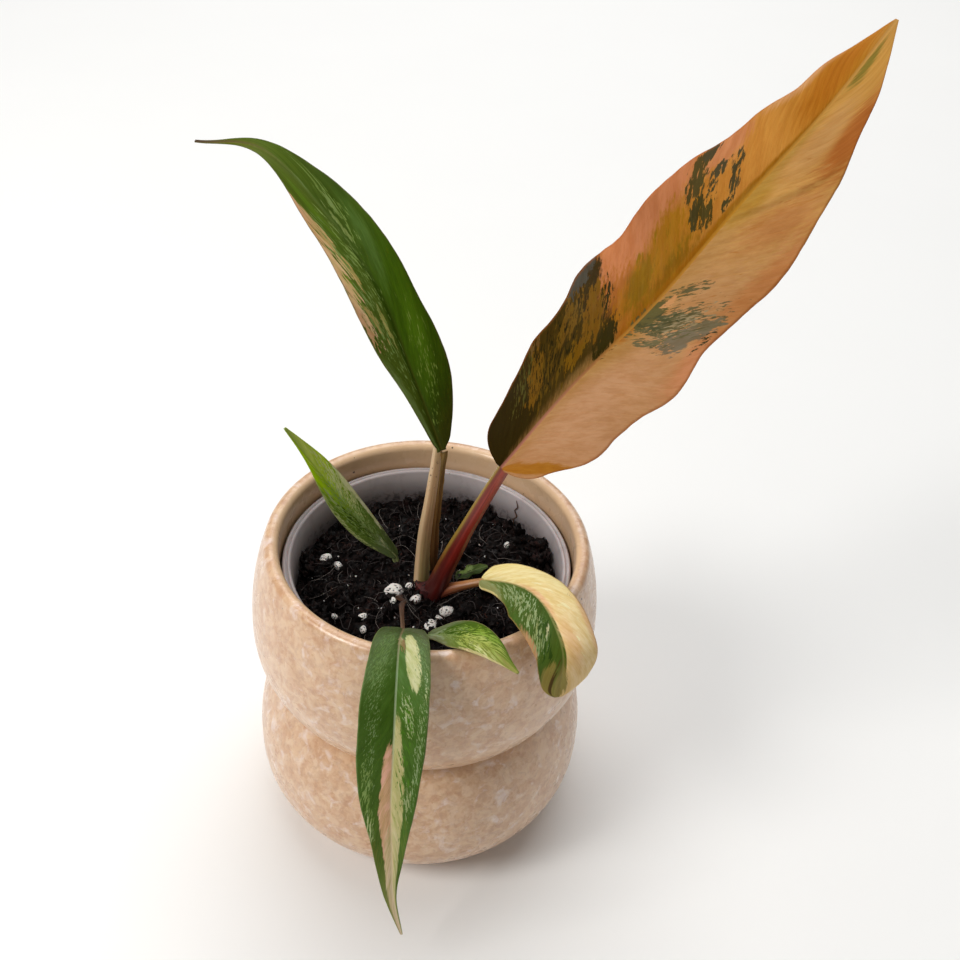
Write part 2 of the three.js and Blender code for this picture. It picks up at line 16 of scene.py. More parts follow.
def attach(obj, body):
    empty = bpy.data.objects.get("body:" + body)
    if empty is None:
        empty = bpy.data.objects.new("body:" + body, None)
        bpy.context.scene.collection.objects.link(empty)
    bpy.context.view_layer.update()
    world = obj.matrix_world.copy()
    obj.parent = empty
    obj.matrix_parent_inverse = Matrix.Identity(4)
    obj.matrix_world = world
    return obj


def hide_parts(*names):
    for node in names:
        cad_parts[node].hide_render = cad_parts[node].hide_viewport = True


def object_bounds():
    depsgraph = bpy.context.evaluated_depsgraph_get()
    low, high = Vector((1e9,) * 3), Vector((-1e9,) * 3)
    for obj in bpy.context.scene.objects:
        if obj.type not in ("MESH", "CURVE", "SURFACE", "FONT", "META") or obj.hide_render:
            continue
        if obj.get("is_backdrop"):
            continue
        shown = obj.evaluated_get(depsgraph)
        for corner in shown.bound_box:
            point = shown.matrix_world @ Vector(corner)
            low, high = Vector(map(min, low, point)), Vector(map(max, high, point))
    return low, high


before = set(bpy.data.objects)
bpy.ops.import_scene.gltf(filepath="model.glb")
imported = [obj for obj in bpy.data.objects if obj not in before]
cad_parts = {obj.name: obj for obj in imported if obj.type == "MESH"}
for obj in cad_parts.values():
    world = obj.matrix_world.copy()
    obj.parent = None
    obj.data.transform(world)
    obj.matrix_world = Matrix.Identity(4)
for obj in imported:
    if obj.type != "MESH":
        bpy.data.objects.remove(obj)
cad_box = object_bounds()
MM = 0.001
print("nodes in the packed model:", len(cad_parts))

# %% [markdown]
# The camera stands above the table and looks down at the open pot from about an arm's length
# away. It is turned a few degrees about its own axis, because the pot in the picture leans a
# little. The camera is placed from the point it looks at, its tilt and its distance, so each of
# these can be changed alone.

# %% Place the camera
PICTURE_WIDTH = 960
FOCAL_LENGTH_PIXELS = 1053
SENSOR_WIDTH = 36
LOOK_AT = Vector((15.13, 0, 139.54)) * MM
CAMERA_DISTANCE = 325.3 * MM
CAMERA_TILT = math.radians(38.71)
CAMERA_ROLL = math.radians(4.62)
CLIP = (0.01, 20)


def place_camera():
    ahead = Vector((0, math.cos(CAMERA_TILT), -math.sin(CAMERA_TILT)))
    level = Vector((1, 0, 0))
    above = level.cross(ahead)
    right = math.cos(CAMERA_ROLL) * level + math.sin(CAMERA_ROLL) * above
    up = math.cos(CAMERA_ROLL) * above - math.sin(CAMERA_ROLL) * level
    lens = bpy.data.cameras.new("camera")
    lens.sensor_width = SENSOR_WIDTH
    lens.lens = SENSOR_WIDTH * FOCAL_LENGTH_PIXELS / PICTURE_WIDTH
    lens.clip_start, lens.clip_end = CLIP
    camera = bpy.data.objects.new("camera", lens)
    turn = Matrix((right, up, -ahead)).transposed().to_4x4()
    camera.matrix_world = Matrix.Translation(LOOK_AT - CAMERA_DISTANCE * ahead) @ turn
    bpy.context.scene.collection.objects.link(camera)
    bpy.context.scene.camera = camera
    return camera


camera = place_camera()
print("camera at", [round(x / MM, 1) for x in camera.matrix_world.translation], "mm")

# %% [markdown]
# The light is plain and soft, like a window on the left on a bright grey day. One lamp from the
# upper left models the round pot, a very wide one above and behind keeps the floor pale and even
# far behind the plant, and a pale sky fills the shadows. The floor is a wide pale sheet that
# carries the pot's soft shadow.

# %% Light and floor
FLOOR_SIZE = 8.0
SKY = {"Color": (1.0, 0.995, 0.985, 1), "Strength": 0.22}
LAMPS = {
    "window_lamp": {"place": (-0.72, -0.46, 0.9), "aim": (0, 0, 0.1), "width": 0.5, "power": 8.2,
                    "colour": (1.0, 0.985, 0.96)},
    "ceiling_lamp": {"place": (0, 1.5, 2.2), "aim": (0, 1.5, 0), "width": 3.0, "power": 56.0,
                     "colour": (1.0, 0.998, 0.99)},
}


def soft_lamp(name, place, aim, width, power, colour):
    lamp = bpy.data.lights.new(name, "AREA")
    lamp.shape = "DISK"
    lamp.size = width
    lamp.energy = power
    lamp.color = colour
    holder = bpy.data.objects.new(name, lamp)
    holder.location = place
    holder.rotation_mode = "QUATERNION"
    holder.rotation_quaternion = (Vector(aim) - Vector(place)).to_track_quat("-Z", "Y")
    bpy.context.scene.collection.objects.link(holder)


def pale_sky():
    sky = bpy.data.worlds.new("pale_sky")
    sky.use_nodes = True
    for key, value in SKY.items():
        sky.node_tree.nodes["Background"].inputs[key].default_value = value
    bpy.context.scene.world = sky
    bpy.context.scene.view_settings.view_transform = "Standard"


for lamp_name, settings in LAMPS.items():
    soft_lamp(lamp_name, **settings)
pale_sky()
print("lamps:", ", ".join(LAMPS))

# %% [markdown]
# Every finish and every shape here is built from nodes, so a few small helpers keep that short.
# `add` makes a node, sets its options and fills its inputs. `calc` is one step of arithmetic and
# `times` multiplies. `split` takes a place apart and `join` puts one together. `ease` turns a
# value into a soft mask, and `tint` lays one colour over another through such a mask.

# %% Helpers for nodes
def paint(code):
    """A colour written as #rrggbb, as the linear values that shaders use."""
    channels = [int(code[i:i + 2], 16) / 255 for i in (1, 3, 5)]
    return tuple(c / 12.92 if c <= 0.04045 else ((c + 0.055) / 1.055) ** 2.4 for c in channels) + (1,)


def fill(tree, inputs, values):
    """Links or sets inputs by name or number. A node alone stands for its first output."""
    for key, value in values.items():
        if isinstance(value, bpy.types.Node):
            value = value.outputs[0]
        if isinstance(value, bpy.types.NodeSocket):
            tree.links.new(value, inputs[key])
        elif isinstance(value, str) and value.startswith("#"):
            inputs[key].default_value = paint(value)
        else:
            inputs[key].default_value = value


def add(tree, kind, inputs=None, **options):
    made = tree.nodes.new(kind)
    for key, value in options.items():
        setattr(made, key, value)
    fill(tree, made.inputs, inputs or {})
    return made


def calc(tree, operation, *values):
    return add(tree, "ShaderNodeMath", dict(enumerate(values)), operation=operation).outputs[0]


def times(tree, product, *others):
    for other in others:
        product = calc(tree, "MULTIPLY", product, other)
    return product


def vector_calc(tree, operation, *values):
    step = add(tree, "ShaderNodeVectorMath", dict(enumerate(values)), operation=operation)
    return step.outputs["Value" if operation in ("LENGTH", "DOT_PRODUCT") else "Vector"]


def scaled(tree, vector, factor):
    step = add(tree, "ShaderNodeVectorMath", {0: vector, "Scale": factor}, operation="SCALE")
    return step.outputs["Vector"]


def split(tree, vector):
    return add(tree, "ShaderNodeSeparateXYZ", {0: vector}).outputs


def join(tree, x=0.0, y=0.0, z=0.0):
    return add(tree, "ShaderNodeCombineXYZ", {0: x, 1: y, 2: z}).outputs[0]


def shifted(tree, place, seed):
    """Slides a pattern by a seed, so that two uses of it don't look alike."""
    return vector_calc(tree, "ADD", place, join(tree, seed, seed, seed))


def ease(tree, value, low, high, to_low=0.0, to_high=1.0):
    """Goes smoothly from to_low to to_high while the value goes from low to high."""
    step = add(tree, "ShaderNodeMapRange", {0: value, 1: low, 2: high, 3: to_low, 4: to_high},
               interpolation_type="SMOOTHSTEP")
    return step.outputs[0]


def tint(tree, share, under, over, strength=None, mode="MIX"):
    """Lays a colour over another through a mask, which strength makes weaker."""
    if strength is not None:
        share = times(tree, share, strength)
    mix = add(tree, "ShaderNodeMix", {0: share, 6: under, 7: over}, data_type="RGBA", blend_type=mode)
    return mix.outputs[2]


def ramp(tree, value, stops):
    """A colour that changes along a value: stops are (place, colour) pairs."""
    step = add(tree, "ShaderNodeValToRGB", {"Fac": value})
    elements = step.color_ramp.elements
    elements[0].position, elements[0].color = stops[0][0], paint(stops[0][1])
    elements[1].position, elements[1].color = stops[-1][0], paint(stops[-1][1])
    for place, colour in stops[1:-1]:
        elements.new(place).color = paint(colour)
    return step.outputs["Color"]


def noise(tree, place, size, detail=2.0, roughness=0.5, distortion=0.0):
    """Cloudy noise whose lumps are about size across, in the units of place."""
    step = add(tree, "ShaderNodeTexNoise", {
        "Vector": place, "Scale": 1 / size, "Detail": detail, "Roughness": roughness,
        "Distortion": distortion})
    return step.outputs["Fac"]


# %% [markdown]
# A finish is a material with one main shader in it. Numbers that are the same all over the
# surface, such as the coat and the way light sinks in, are set on the shader itself. Shared
# effects are node groups: each is built once and placed in every finish that needs it.

# %% Helpers for finishes and shared effects
FLOAT, WHOLE, VECTOR = "NodeSocketFloat", "NodeSocketInt", "NodeSocketVector"


def new_finish(name, **constants):
    """A material, its tree and the inputs of its main shader, on which the constants are set."""
    material = bpy.data.materials.new(name)
    material.use_nodes = True
    shader = material.node_tree.nodes["Principled BSDF"].inputs
    for key, value in constants.items():
        shader[key.replace("_", " ").title().replace("Ior", "IOR")].default_value = value
    return material, material.node_tree, shader


def new_group(name, kind, inputs, outputs):
    """A node group with named sockets: inputs and outputs are (name, socket type, value) rows."""
    group = bpy.data.node_groups.new(name, kind)
    for label, socket_type, value in inputs:
        socket = group.interface.new_socket(label, in_out="INPUT", socket_type=socket_type)
        if value is not None:
            socket.default_value = value
    for label, socket_type in outputs:
        group.interface.new_socket(label, in_out="OUTPUT", socket_type=socket_type)
    start = group.nodes.new("NodeGroupInput").outputs
    end = group.nodes.new("NodeGroupOutput").inputs
    return group, start, end


def new_effect(name, inputs, output="Mask"):
    return new_group(name, "ShaderNodeTree", inputs, [(output, FLOAT)])


def effect(tree, group, inputs):
    return add(tree, "ShaderNodeGroup", inputs, node_tree=group).outputs[0]


def object_place(tree):
    return add(tree, "ShaderNodeTexCoord").outputs["Object"]


def kept_value(tree, name, output="Fac"):
    """A value that the shape keeps on every point."""
    return add(tree, "ShaderNodeAttribute", attribute_name=name).outputs[output]


def bump(tree, height, distance, strength):
    inputs = {"Height": height, "Distance": distance, "Strength": strength}
    return add(tree, "ShaderNodeBump", inputs).outputs["Normal"]


# %% Blotches and specks
BLOTCH = {"detail": 4.0, "roughness": 0.6, "distortion": 0.6}


def cloud_group():
    """Soft-edged blotches: Amount is the share of the surface they cover."""
    group, start, end = new_effect("cloudy blotches", [
        ("Place", VECTOR, None), ("Size", FLOAT, 0.004), ("Amount", FLOAT, 0.4),
        ("Edge", FLOAT, 0.08), ("Seed", FLOAT, 0.0)])
    in_lumps = scaled(group, start["Place"], calc(group, "DIVIDE", 1.0, start["Size"]))
    cloud = noise(group, shifted(group, in_lumps, start["Seed"]), 1.0, **BLOTCH)
    middle = calc(group, "MULTIPLY_ADD", start["Amount"], -0.42, 0.71)
    low = calc(group, "SUBTRACT", middle, start["Edge"])
    high = calc(group, "ADD", middle, start["Edge"])
    fill(group, end, {"Mask": ease(group, cloud, low, high)})
    return group


def speck_group():
    """Small separate specks, such as soil dust: Share is how many of the cells hold one."""
    group, start, end = new_effect("scattered specks", [
        ("Place", VECTOR, None), ("Cell", FLOAT, 0.003), ("Share", FLOAT, 0.2), ("Radius", FLOAT, 0.14)])
    cells = add(group, "ShaderNodeTexVoronoi", {
        "Vector": start["Place"], "Scale": calc(group, "DIVIDE", 1.0, start["Cell"])})
    chance = split(group, cells.outputs["Color"])
    chosen = calc(group, "LESS_THAN", chance[0], start["Share"])
    size = times(group, start["Radius"], calc(group, "ADD", chance[1], 0.4))
    inside = ease(group, cells.outputs["Distance"], size, times(group, size, 0.5))
    fill(group, end, {"Mask": times(group, chosen, inside)})
    return group


CLOUDS = cloud_group()
SPECKS = speck_group()


def clouds(tree, place, size, amount, edge, seed):
    return effect(tree, CLOUDS, {
        "Place": place, "Size": size, "Amount": amount, "Edge": edge, "Seed": seed})


def specks(tree, place, cell, share, radius):
    return effect(tree, SPECKS, {"Place": place, "Cell": cell, "Share": share, "Radius": radius})


# %% The floor's finish and sheet
def floor_sheet():
    material, tree, shader = new_finish("pale_floor", roughness=0.75)
    cloud = noise(tree, object_place(tree), 0.12)
    fill(tree, shader, {"Base Color": tint(tree, cloud, "#f7f7f6", "#f5f5f4")})
    half = FLOOR_SIZE / 2
    corners = [(-half, -half, 0), (half, -half, 0), (half, half, 0), (-half, half, 0)]
    mesh = bpy.data.meshes.new("floor")
    mesh.from_pydata(corners, [], [(0, 1, 2, 3)])
    mesh.materials.append(material)
    sheet = bpy.data.objects.new("floor", mesh)
    bpy.context.scene.collection.objects.link(sheet)
    sheet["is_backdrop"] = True


floor_sheet()
print("floor", FLOOR_SIZE, "m across")

# %% [markdown]
# Shapes that follow a rule are made by geometry trees. A tree is run on a small start mesh, such
# as an outline or a path, through a modifier whose inputs are set by their identifiers. The
# result is taken as a plain mesh at once, and the carrier with its modifier is thrown away.

# %% Helpers for geometry trees and plain meshes
SHAPE = "NodeSocketGeometry"


def new_shape_tree(name, inputs):
    rows = [("Geometry", SHAPE, None), *inputs, ("Finish", "NodeSocketMaterial", None)]
    tree, start, end = new_group(name, "GeometryNodeTree", rows, [("Geometry", SHAPE)])
    tree.is_modifier = True
    return tree, start, end


def close_tree(tree, start, end, shape):
    """Every tree ends alike: shading, real copies, and the finish."""
    shaded = add(tree, "GeometryNodeSetShadeSmooth", {"Geometry": shape, "Shade Smooth": True})
    real = add(tree, "GeometryNodeRealizeInstances", {"Geometry": shaded})
    dressed = add(tree, "GeometryNodeSetMaterial", {"Geometry": real, "Material": start["Finish"]})
    fill(tree, end, {"Geometry": dressed})
    return tree


def here(tree):
    return add(tree, "GeometryNodeInputPosition").outputs[0]


def keep_value(tree, shape, name, value, **options):
    return add(tree, "GeometryNodeStoreNamedAttribute", {
        "Geometry": shape, "Name": name, "Value": value}, **options)


def random_vector(tree, low, high, seed):
    inputs = {"Min": low, "Max": high, "Seed": seed}
    return add(tree, "FunctionNodeRandomValue", inputs, data_type="FLOAT_VECTOR").outputs[0]


def link_piece(name, mesh):
    piece = bpy.data.objects.new(name, mesh)
    bpy.context.scene.collection.objects.link(piece)
    return piece


def run_tree(tree, name, start_mesh, values):
    carrier = link_piece(name + "_carrier", start_mesh)
    modifier = carrier.modifiers.new("shape", "NODES")
    modifier.node_group = tree
    for item in tree.interface.items_tree:
        if item.item_type == "SOCKET" and item.in_out == "INPUT" and item.name in values:
            modifier[item.identifier] = values[item.name]
    carrier.update_tag()
    evaluated = carrier.evaluated_get(bpy.context.evaluated_depsgraph_get())
    mesh = bpy.data.meshes.new_from_object(evaluated)
    mesh.name = name
    bpy.data.objects.remove(carrier)
    face_outwards(mesh)
    return link_piece(name, mesh)


def face_outwards(mesh):
    """A closed mesh whose signed volume is below zero is inside out, so it is turned."""
    mesh.calc_loop_triangles()
    corners = np.zeros(len(mesh.loop_triangles) * 3, np.int32)
    mesh.loop_triangles.foreach_get("vertices", corners)
    places = np.zeros(len(mesh.vertices) * 3)
    mesh.vertices.foreach_get("co", places)
    a, b, c = places.reshape(-1, 3)[corners.reshape(-1, 3)].transpose(1, 0, 2)
    if np.einsum("ij,ij->i", a, np.cross(b, c)).sum() < 0:
        mesh.flip_normals()


def chain(name, points):
    """A start mesh of points joined in a row, given in millimetres."""
    mesh = bpy.data.meshes.new(name)
    rows = [tuple(float(x) * MM for x in point) for point in points]
    mesh.from_pydata(rows, [(i, i + 1) for i in range(len(rows) - 1)], [])
    return mesh


def report(piece):
    size = [round(x / MM, 1) for x in piece.dimensions]
    print(f"{piece.name}: {len(piece.data.polygons)} faces, {size} mm")


def hand_over(piece, slot, *nodes):
    """Hangs a finished piece on the root body, hides the nodes it stands for and prints its size. The slot
    is not used.
    """
    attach(piece, "root")
    if nodes:
        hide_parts(*nodes)
    report(piece)


# %% [markdown]
# The cover pot and the nursery pot are turned shapes: one outline, taken round the upright axis.
# A lathe could be a spin in mesh code or a screw modifier. A geometry tree suits it best here,
# because both pots and the soil use the same rule and only their outlines differ. The tree
# lays a grid with one column for each step round, reads the outline's radius and height by row,
# and merges the seam and the poles.

# %% The turning tree
def turning_tree():
    tree, start, end = new_shape_tree("turned piece", [("Steps Round", WHOLE, 96)])
    size = add(tree, "GeometryNodeAttributeDomainSize", {"Geometry": start["Geometry"]})
    count = size.outputs["Point Count"]
    columns = calc(tree, "ADD", start["Steps Round"], 1)
    grid = add(tree, "GeometryNodeMeshGrid", {"Vertices X": columns, "Vertices Y": count})
    index = add(tree, "GeometryNodeInputIndex").outputs[0]
    column = calc(tree, "FLOOR", calc(tree, "DIVIDE", calc(tree, "ADD", index, 0.5), count))
    row = calc(tree, "SUBTRACT", index, times(tree, column, count))
    outline = add(tree, "GeometryNodeSampleIndex", {
        "Geometry": start["Geometry"], "Value": here(tree), "Index": row}, data_type="FLOAT_VECTOR")
    radius, _, level = split(tree, outline)
    angle = calc(tree, "DIVIDE", times(tree, column, 2 * math.pi), start["Steps Round"])
    turned = join(tree, times(tree, radius, calc(tree, "COSINE", angle)),
                  times(tree, radius, calc(tree, "SINE", angle)), level)
    moved = add(tree, "GeometryNodeSetPosition", {"Geometry": grid, "Position": turned})
    merged = add(tree, "GeometryNodeMergeByDistance", {"Geometry": moved, "Distance": 1e-6})
    return close_tree(tree, start, end, merged)


TURNING = turning_tree()


def turn(name, outline, steps, finish):
    profile = chain(name + "_outline", [(radius, 0, height) for radius, height in outline])
    return run_tree(TURNING, name, profile, {"Steps Round": steps, "Finish": finish})


# %% [markdown]
# The cover pot is slip-cast stoneware: two bulbs one on the other with a crisp waist, a rounded
# lip, a straight throat and a plain foot. Each half bulb falls away from its widest level by a
# power of the height, which gives the full, slightly square shoulder of the real pot. The steps
# crowd together towards the waist, so that the crease stays sharp under smooth shading.

# %% The cover pot's outline
POT_HEIGHT = 115
POT_WALL = 4.4
POT_FLOOR = 6
FOOT = {"radius": 43, "bevel": 0.9}
LOWER_BULB = {"radius": 58.4, "level": 26.4, "fullness": 2.4}
WAIST = {"radius": 49.5, "level": 58.6}
UPPER_BULB = {"radius": 58, "level": 81.6, "fullness": 2.1}
LIP = {"radius": 50.4, "half": 2.4, "start": 18, "end": 180}
THROAT_LEVEL = 101
INNER_FLOOR = {"radius": 42, "level": POT_FLOOR}
FLOOR_RING = 20
POT_STEPS = {"round": 200, "outside": 26, "inside": 12, "lip": 12}
CROWDING = 1.6


def half_bulb(bulb, end, inside=False):
    """Points from a bulb's widest level to the place where that half of it ends."""
    wide = bulb["radius"] - (POT_WALL if inside else 0)
    steps = POT_STEPS["inside" if inside else "outside"]
    shares = 1 - (1 - np.linspace(0, 1, steps + 1)) ** CROWDING
    radii = wide - (wide - end["radius"]) * shares ** bulb["fullness"]
    levels = bulb["level"] + (end["level"] - bulb["level"]) * shares
    return list(zip(radii, levels))


def lip_arc():
    angles = np.radians(np.linspace(LIP["start"], LIP["end"], POT_STEPS["lip"] + 1))
    level = POT_HEIGHT - LIP["half"]
    return list(zip(LIP["radius"] + LIP["half"] * np.cos(angles), level + LIP["half"] * np.sin(angles)))


def cover_pot_outline():
    lip = lip_arc()
    shoulder = {"radius": lip[0][0], "level": lip[0][1]}
    throat = {"radius": lip[-1][0], "level": THROAT_LEVEL}
    inner_waist = {"radius": WAIST["radius"] - POT_WALL, "level": WAIST["level"]}
    foot, bevel = FOOT["radius"], FOOT["bevel"]
    heel = {"radius": foot + 0.2 * bevel, "level": bevel}
    return [
        (0, 0), (FLOOR_RING, 0), (foot - 1.5 * bevel, 0), (foot - 0.5 * bevel, 0.25 * bevel),
        *half_bulb(LOWER_BULB, heel)[::-1],
        *half_bulb(LOWER_BULB, WAIST)[1:],
        *half_bulb(UPPER_BULB, WAIST)[::-1][1:],
        *half_bulb(UPPER_BULB, shoulder)[1:],
        *lip[1:],
        *half_bulb(UPPER_BULB, throat, inside=True)[::-1],
        *half_bulb(UPPER_BULB, inner_waist, inside=True)[1:],
        *half_bulb(LOWER_BULB, inner_waist, inside=True)[::-1][1:],
        *half_bulb(LOWER_BULB, INNER_FLOOR, inside=True)[1:],
        (FLOOR_RING, POT_FLOOR), (0, POT_FLOOR),
    ]


print("outline points:", len(cover_pot_outline()))

# %% [markdown]
# The glaze is a satin cream over a warm tan body. It broke while it melted, so it is full of
# watery blotches, two to nine millimetres across: paler cream ones, some of a pinkish white, and
# orange-brown ones where the body shows through. The throat is plainer, and it is painted paler
# than the body: painted light inside the lip. A thin tan line lies in the waist, and a few specks
# of soil dust lie near the lip. All of it reads the object's own place, so the blotches have the
# same size everywhere.

# %% The mottled glaze
GLAZE_BLOTCHES = [
    ("#dcb592", 0.0085, 0.5, 0.6, 3.1), ("#bc845c", 0.005, 0.34, 0.45, 7.7),
    ("#e6c8a8", 0.0042, 0.42, 0.55, 13.0), ("#b98f72", 0.003, 0.4, 0.42, 17.0),
    ("#ecd8cf", 0.0055, 0.24, 0.7, 21.0), ("#e2c097", 0.0018, 0.45, 0.35, 31.0)]
BLOTCH_EDGE = 0.08
THROAT_GLAZE_AND_LIGHT = {"colour": "#e8c49c", "strength": 0.85, "radii": (0.0503, 0.0487), "levels": (0.09, 0.095)}
WAIST_SKIN = {"colour": "#b98a60", "strength": 0.45, "reach": (0.0022, 0.0004)}
LIP_DUST = {"colour": "#3a2a1e", "cell": 0.0038, "share": 0.2, "radius": 0.11, "levels": (0.1, 0.109)}


def glaze_finish():
    material, tree, shader = new_finish(
        "mottled_cream_glaze", roughness=0.3, coat_weight=0.5, coat_roughness=0.32)
    place = object_place(tree)
    body = tint(tree, noise(tree, place, 0.026, 3.0), "#c0916a", "#cfa37e")
    for colour, size, amount, strength, seed in GLAZE_BLOTCHES:
        body = tint(tree, clouds(tree, place, size, amount, BLOTCH_EDGE, seed), body, colour, strength)
    x, y, level = split(tree, place)
    from_axis = vector_calc(tree, "LENGTH", join(tree, x, y))
    # The throat's plainer tan is the glaze's own; that it is paler than the body is painted light inside the
    # lip.
    throat = times(tree, ease(tree, from_axis, *THROAT_GLAZE_AND_LIGHT["radii"]),
                   ease(tree, level, *THROAT_GLAZE_AND_LIGHT["levels"]))
    body = tint(tree, throat, body, THROAT_GLAZE_AND_LIGHT["colour"], THROAT_GLAZE_AND_LIGHT["strength"])
    # A darker tan line along the waist crease.
    from_waist = calc(tree, "ABSOLUTE", calc(tree, "SUBTRACT", level, WAIST["level"] * MM))
    waist_line = ease(tree, from_waist, *WAIST_SKIN["reach"], 0.0, WAIST_SKIN["strength"])
    body = tint(tree, waist_line, body, WAIST_SKIN["colour"])
    dust = specks(tree, place, LIP_DUST["cell"], LIP_DUST["share"], LIP_DUST["radius"])
    near_lip = ease(tree, level, *LIP_DUST["levels"])
    body = tint(tree, times(tree, dust, near_lip), body, LIP_DUST["colour"])
    fill(tree, shader, {
        "Base Color": body,
        "Roughness": ease(tree, noise(tree, place, 0.006), 0.3, 0.7, 0.24, 0.36),
        "Normal": bump(tree, noise(tree, place, 0.0045), 0.0002, 0.35)})
    return material


cover_pot = turn("glazed_cover_pot", cover_pot_outline(), POT_STEPS["round"], glaze_finish())
hand_over(cover_pot, "glazed_pot", "ceramic_pot")

# %% [markdown]
# The nursery pot is thin milky plastic, a tapered cup with two low ridges on its rim and holes in
# its floor. It stands loose inside the cover pot, and only its rim and the inside of its upper
# wall show, grey-lilac in the shade. Below the rim the wall's colour is painted darker: that is
# painted shade. The holes are cut with a boolean against six short pegs.

# %% The nursery pot
NURSERY = {"wall": 1, "floor": 1.2, "base_radius": 35, "top_radius": 45, "rim_level": 106, "rim_drop": 5}
NURSERY_RING = 18
NURSERY_STEPS = 144
RIM = {"radius": 47.2, "inner": 44.5, "ridge": 0.6, "steps": 24}
DRAIN = {"count": 6, "radius": 4, "circle": 22, "sides": 24}
CLEAR = 0.3
NURSERY_BASE = POT_FLOOR + CLEAR
RIM_FOOT = NURSERY["rim_level"] - NURSERY["rim_drop"]
PLASTIC_SHADE = (0.1045, 0.0945)
PLASTIC_DUST = (0.1, 0.095)


def nursery_outline():
    shares = np.linspace(0, 1, RIM["steps"] + 1)
    radii = RIM["radius"] + (RIM["inner"] - RIM["radius"]) * shares
    ridges = NURSERY["rim_level"] - RIM["ridge"] * (1 - np.abs(np.sin(2 * math.pi * shares)) ** 0.7)
    base, top, wall, low = NURSERY["base_radius"], NURSERY["top_radius"], NURSERY["wall"], NURSERY_BASE
    inner_base = low + NURSERY["floor"]
    return [
        (0, low), (NURSERY_RING, low), (base - 1, low), (base - 0.3, low + 0.3), (base, low + 1),
        (top - 0.2, RIM_FOOT - 1.5), (top, RIM_FOOT),
        (RIM["radius"] - 0.3, RIM_FOOT), (RIM["radius"], RIM_FOOT + 0.3),
        *zip(radii, ridges),
        (top - wall - 0.05, RIM_FOOT), (top - wall - 0.3, RIM_FOOT - 2),
        (base - wall, inner_base), (NURSERY_RING, inner_base), (0, inner_base),
    ]


def drain_pegs():
    corners, faces = [], []
    low, high = NURSERY_BASE - 1, NURSERY_BASE + NURSERY["floor"] + 1
    for hole in range(DRAIN["count"]):
        middle = 2 * math.pi * hole / DRAIN["count"]
        first = len(corners)
        for level in (low, high):
            for side in range(DRAIN["sides"]):
                angle = 2 * math.pi * side / DRAIN["sides"]
                x = DRAIN["circle"] * math.cos(middle) + DRAIN["radius"] * math.cos(angle)
                y = DRAIN["circle"] * math.sin(middle) + DRAIN["radius"] * math.sin(angle)
                corners.append((x * MM, y * MM, level * MM))
        ring = range(DRAIN["sides"])
        faces.append([first + side for side in reversed(ring)])
        faces.append([first + DRAIN["sides"] + side for side in ring])
        for side in ring:
            after = (side + 1) % DRAIN["sides"]
            faces.append([first + side, first + after, first + DRAIN["sides"] + after,
                          first + DRAIN["sides"] + side])
    mesh = bpy.data.meshes.new("drain_pegs")
    mesh.from_pydata(corners, [], faces)
    return link_piece("drain_pegs", mesh)


def plastic_finish():
    material, tree, shader = new_finish(
        "milky_plastic", roughness=0.42, subsurface_weight=0.15, subsurface_scale=0.003)
    place = object_place(tree)
    level = split(tree, place)[2]
    body = tint(tree, noise(tree, place, 0.02), "#aea5a6", "#bdb4b4")
    # Painted shade: the wall's colour turns darker below the rim, where it lies in shadow.
    body = tint(tree, ease(tree, level, *PLASTIC_SHADE), body, "#665e5e")
    body = tint(tree, clouds(tree, place, 0.006, 0.3, 0.14, 5.0), body, "#7f7676", 0.3)
    dust = times(tree, clouds(tree, place, 0.0019, 0.4, 0.08, 9.0), ease(tree, level, *PLASTIC_DUST))
    body = tint(tree, dust, body, "#2b2120", 0.8)
    body = tint(tree, specks(tree, place, 0.0035, 0.16, 0.1), body, "#4a3a30")
    fill(tree, shader, {
        "Base Color": body,
        "Roughness": ease(tree, noise(tree, place, 0.004), 0.3, 0.7, 0.36, 0.5)})
    return material


def nursery_pot():
    piece = turn("nursery_pot_cup", nursery_outline(), NURSERY_STEPS, plastic_finish())
    pegs = drain_pegs()
    cut = piece.modifiers.new("drain holes", "BOOLEAN")
    cut.object = pegs
    cut.solver = "EXACT"
    evaluated = piece.evaluated_get(bpy.context.evaluated_depsgraph_get())
    mesh = bpy.data.meshes.new_from_object(evaluated)
    piece.modifiers.clear()
    piece.data = mesh
    bpy.data.objects.remove(pegs)
    return piece


hand_over(nursery_pot(), "nursery_plastic", "nursery_pot")

# %% [markdown]
# The soil is one damp dark body that fills the nursery pot. Its top is uneven: a few long swells,
# a small mound round the crown, a fall towards the wall, and on the right a heap that was pushed
# up against the wall. The waves are the ones that shaped the solid, so the grains and stalks stand
# where they stood, and only the heap is this notebook's own. A geometry tree then roughens the
# top with soft lumps about six millimetres across.

# %% The soil's top
SOIL = {"level": 95, "edge_drop": 1.2, "mound": 1.4, "mound_radius": 14, "mound_centre": (1, -5)}
HEAP = {"height": 6.0, "bearing": math.radians(24), "spread": math.radians(12), "from": 31, "to": 42.5}
SOIL_WAVES = [
    (0.45, 0.31, 0.27, 0.3), (0.45, 0.31, -0.27, 1.3), (0.6, 0.83, -0.61, 1.1),
    (0.4, 0.57, 1.03, 0)]
SOIL_GAP = 1.5 * CLEAR
SOIL_STEPS = {"round": 200, "rings": 90}
LUMPS = {"Lump Size": 6 * MM, "Lump Height": 2.4 * MM, "Top Level": (SOIL["level"] - 3) * MM}


def nursery_inner_radius(level):
    low = NURSERY_BASE + NURSERY["floor"]
    taper = (NURSERY["top_radius"] - NURSERY["base_radius"]) * (level - low) / (RIM_FOOT - low)
    return NURSERY["base_radius"] + taper - NURSERY["wall"]


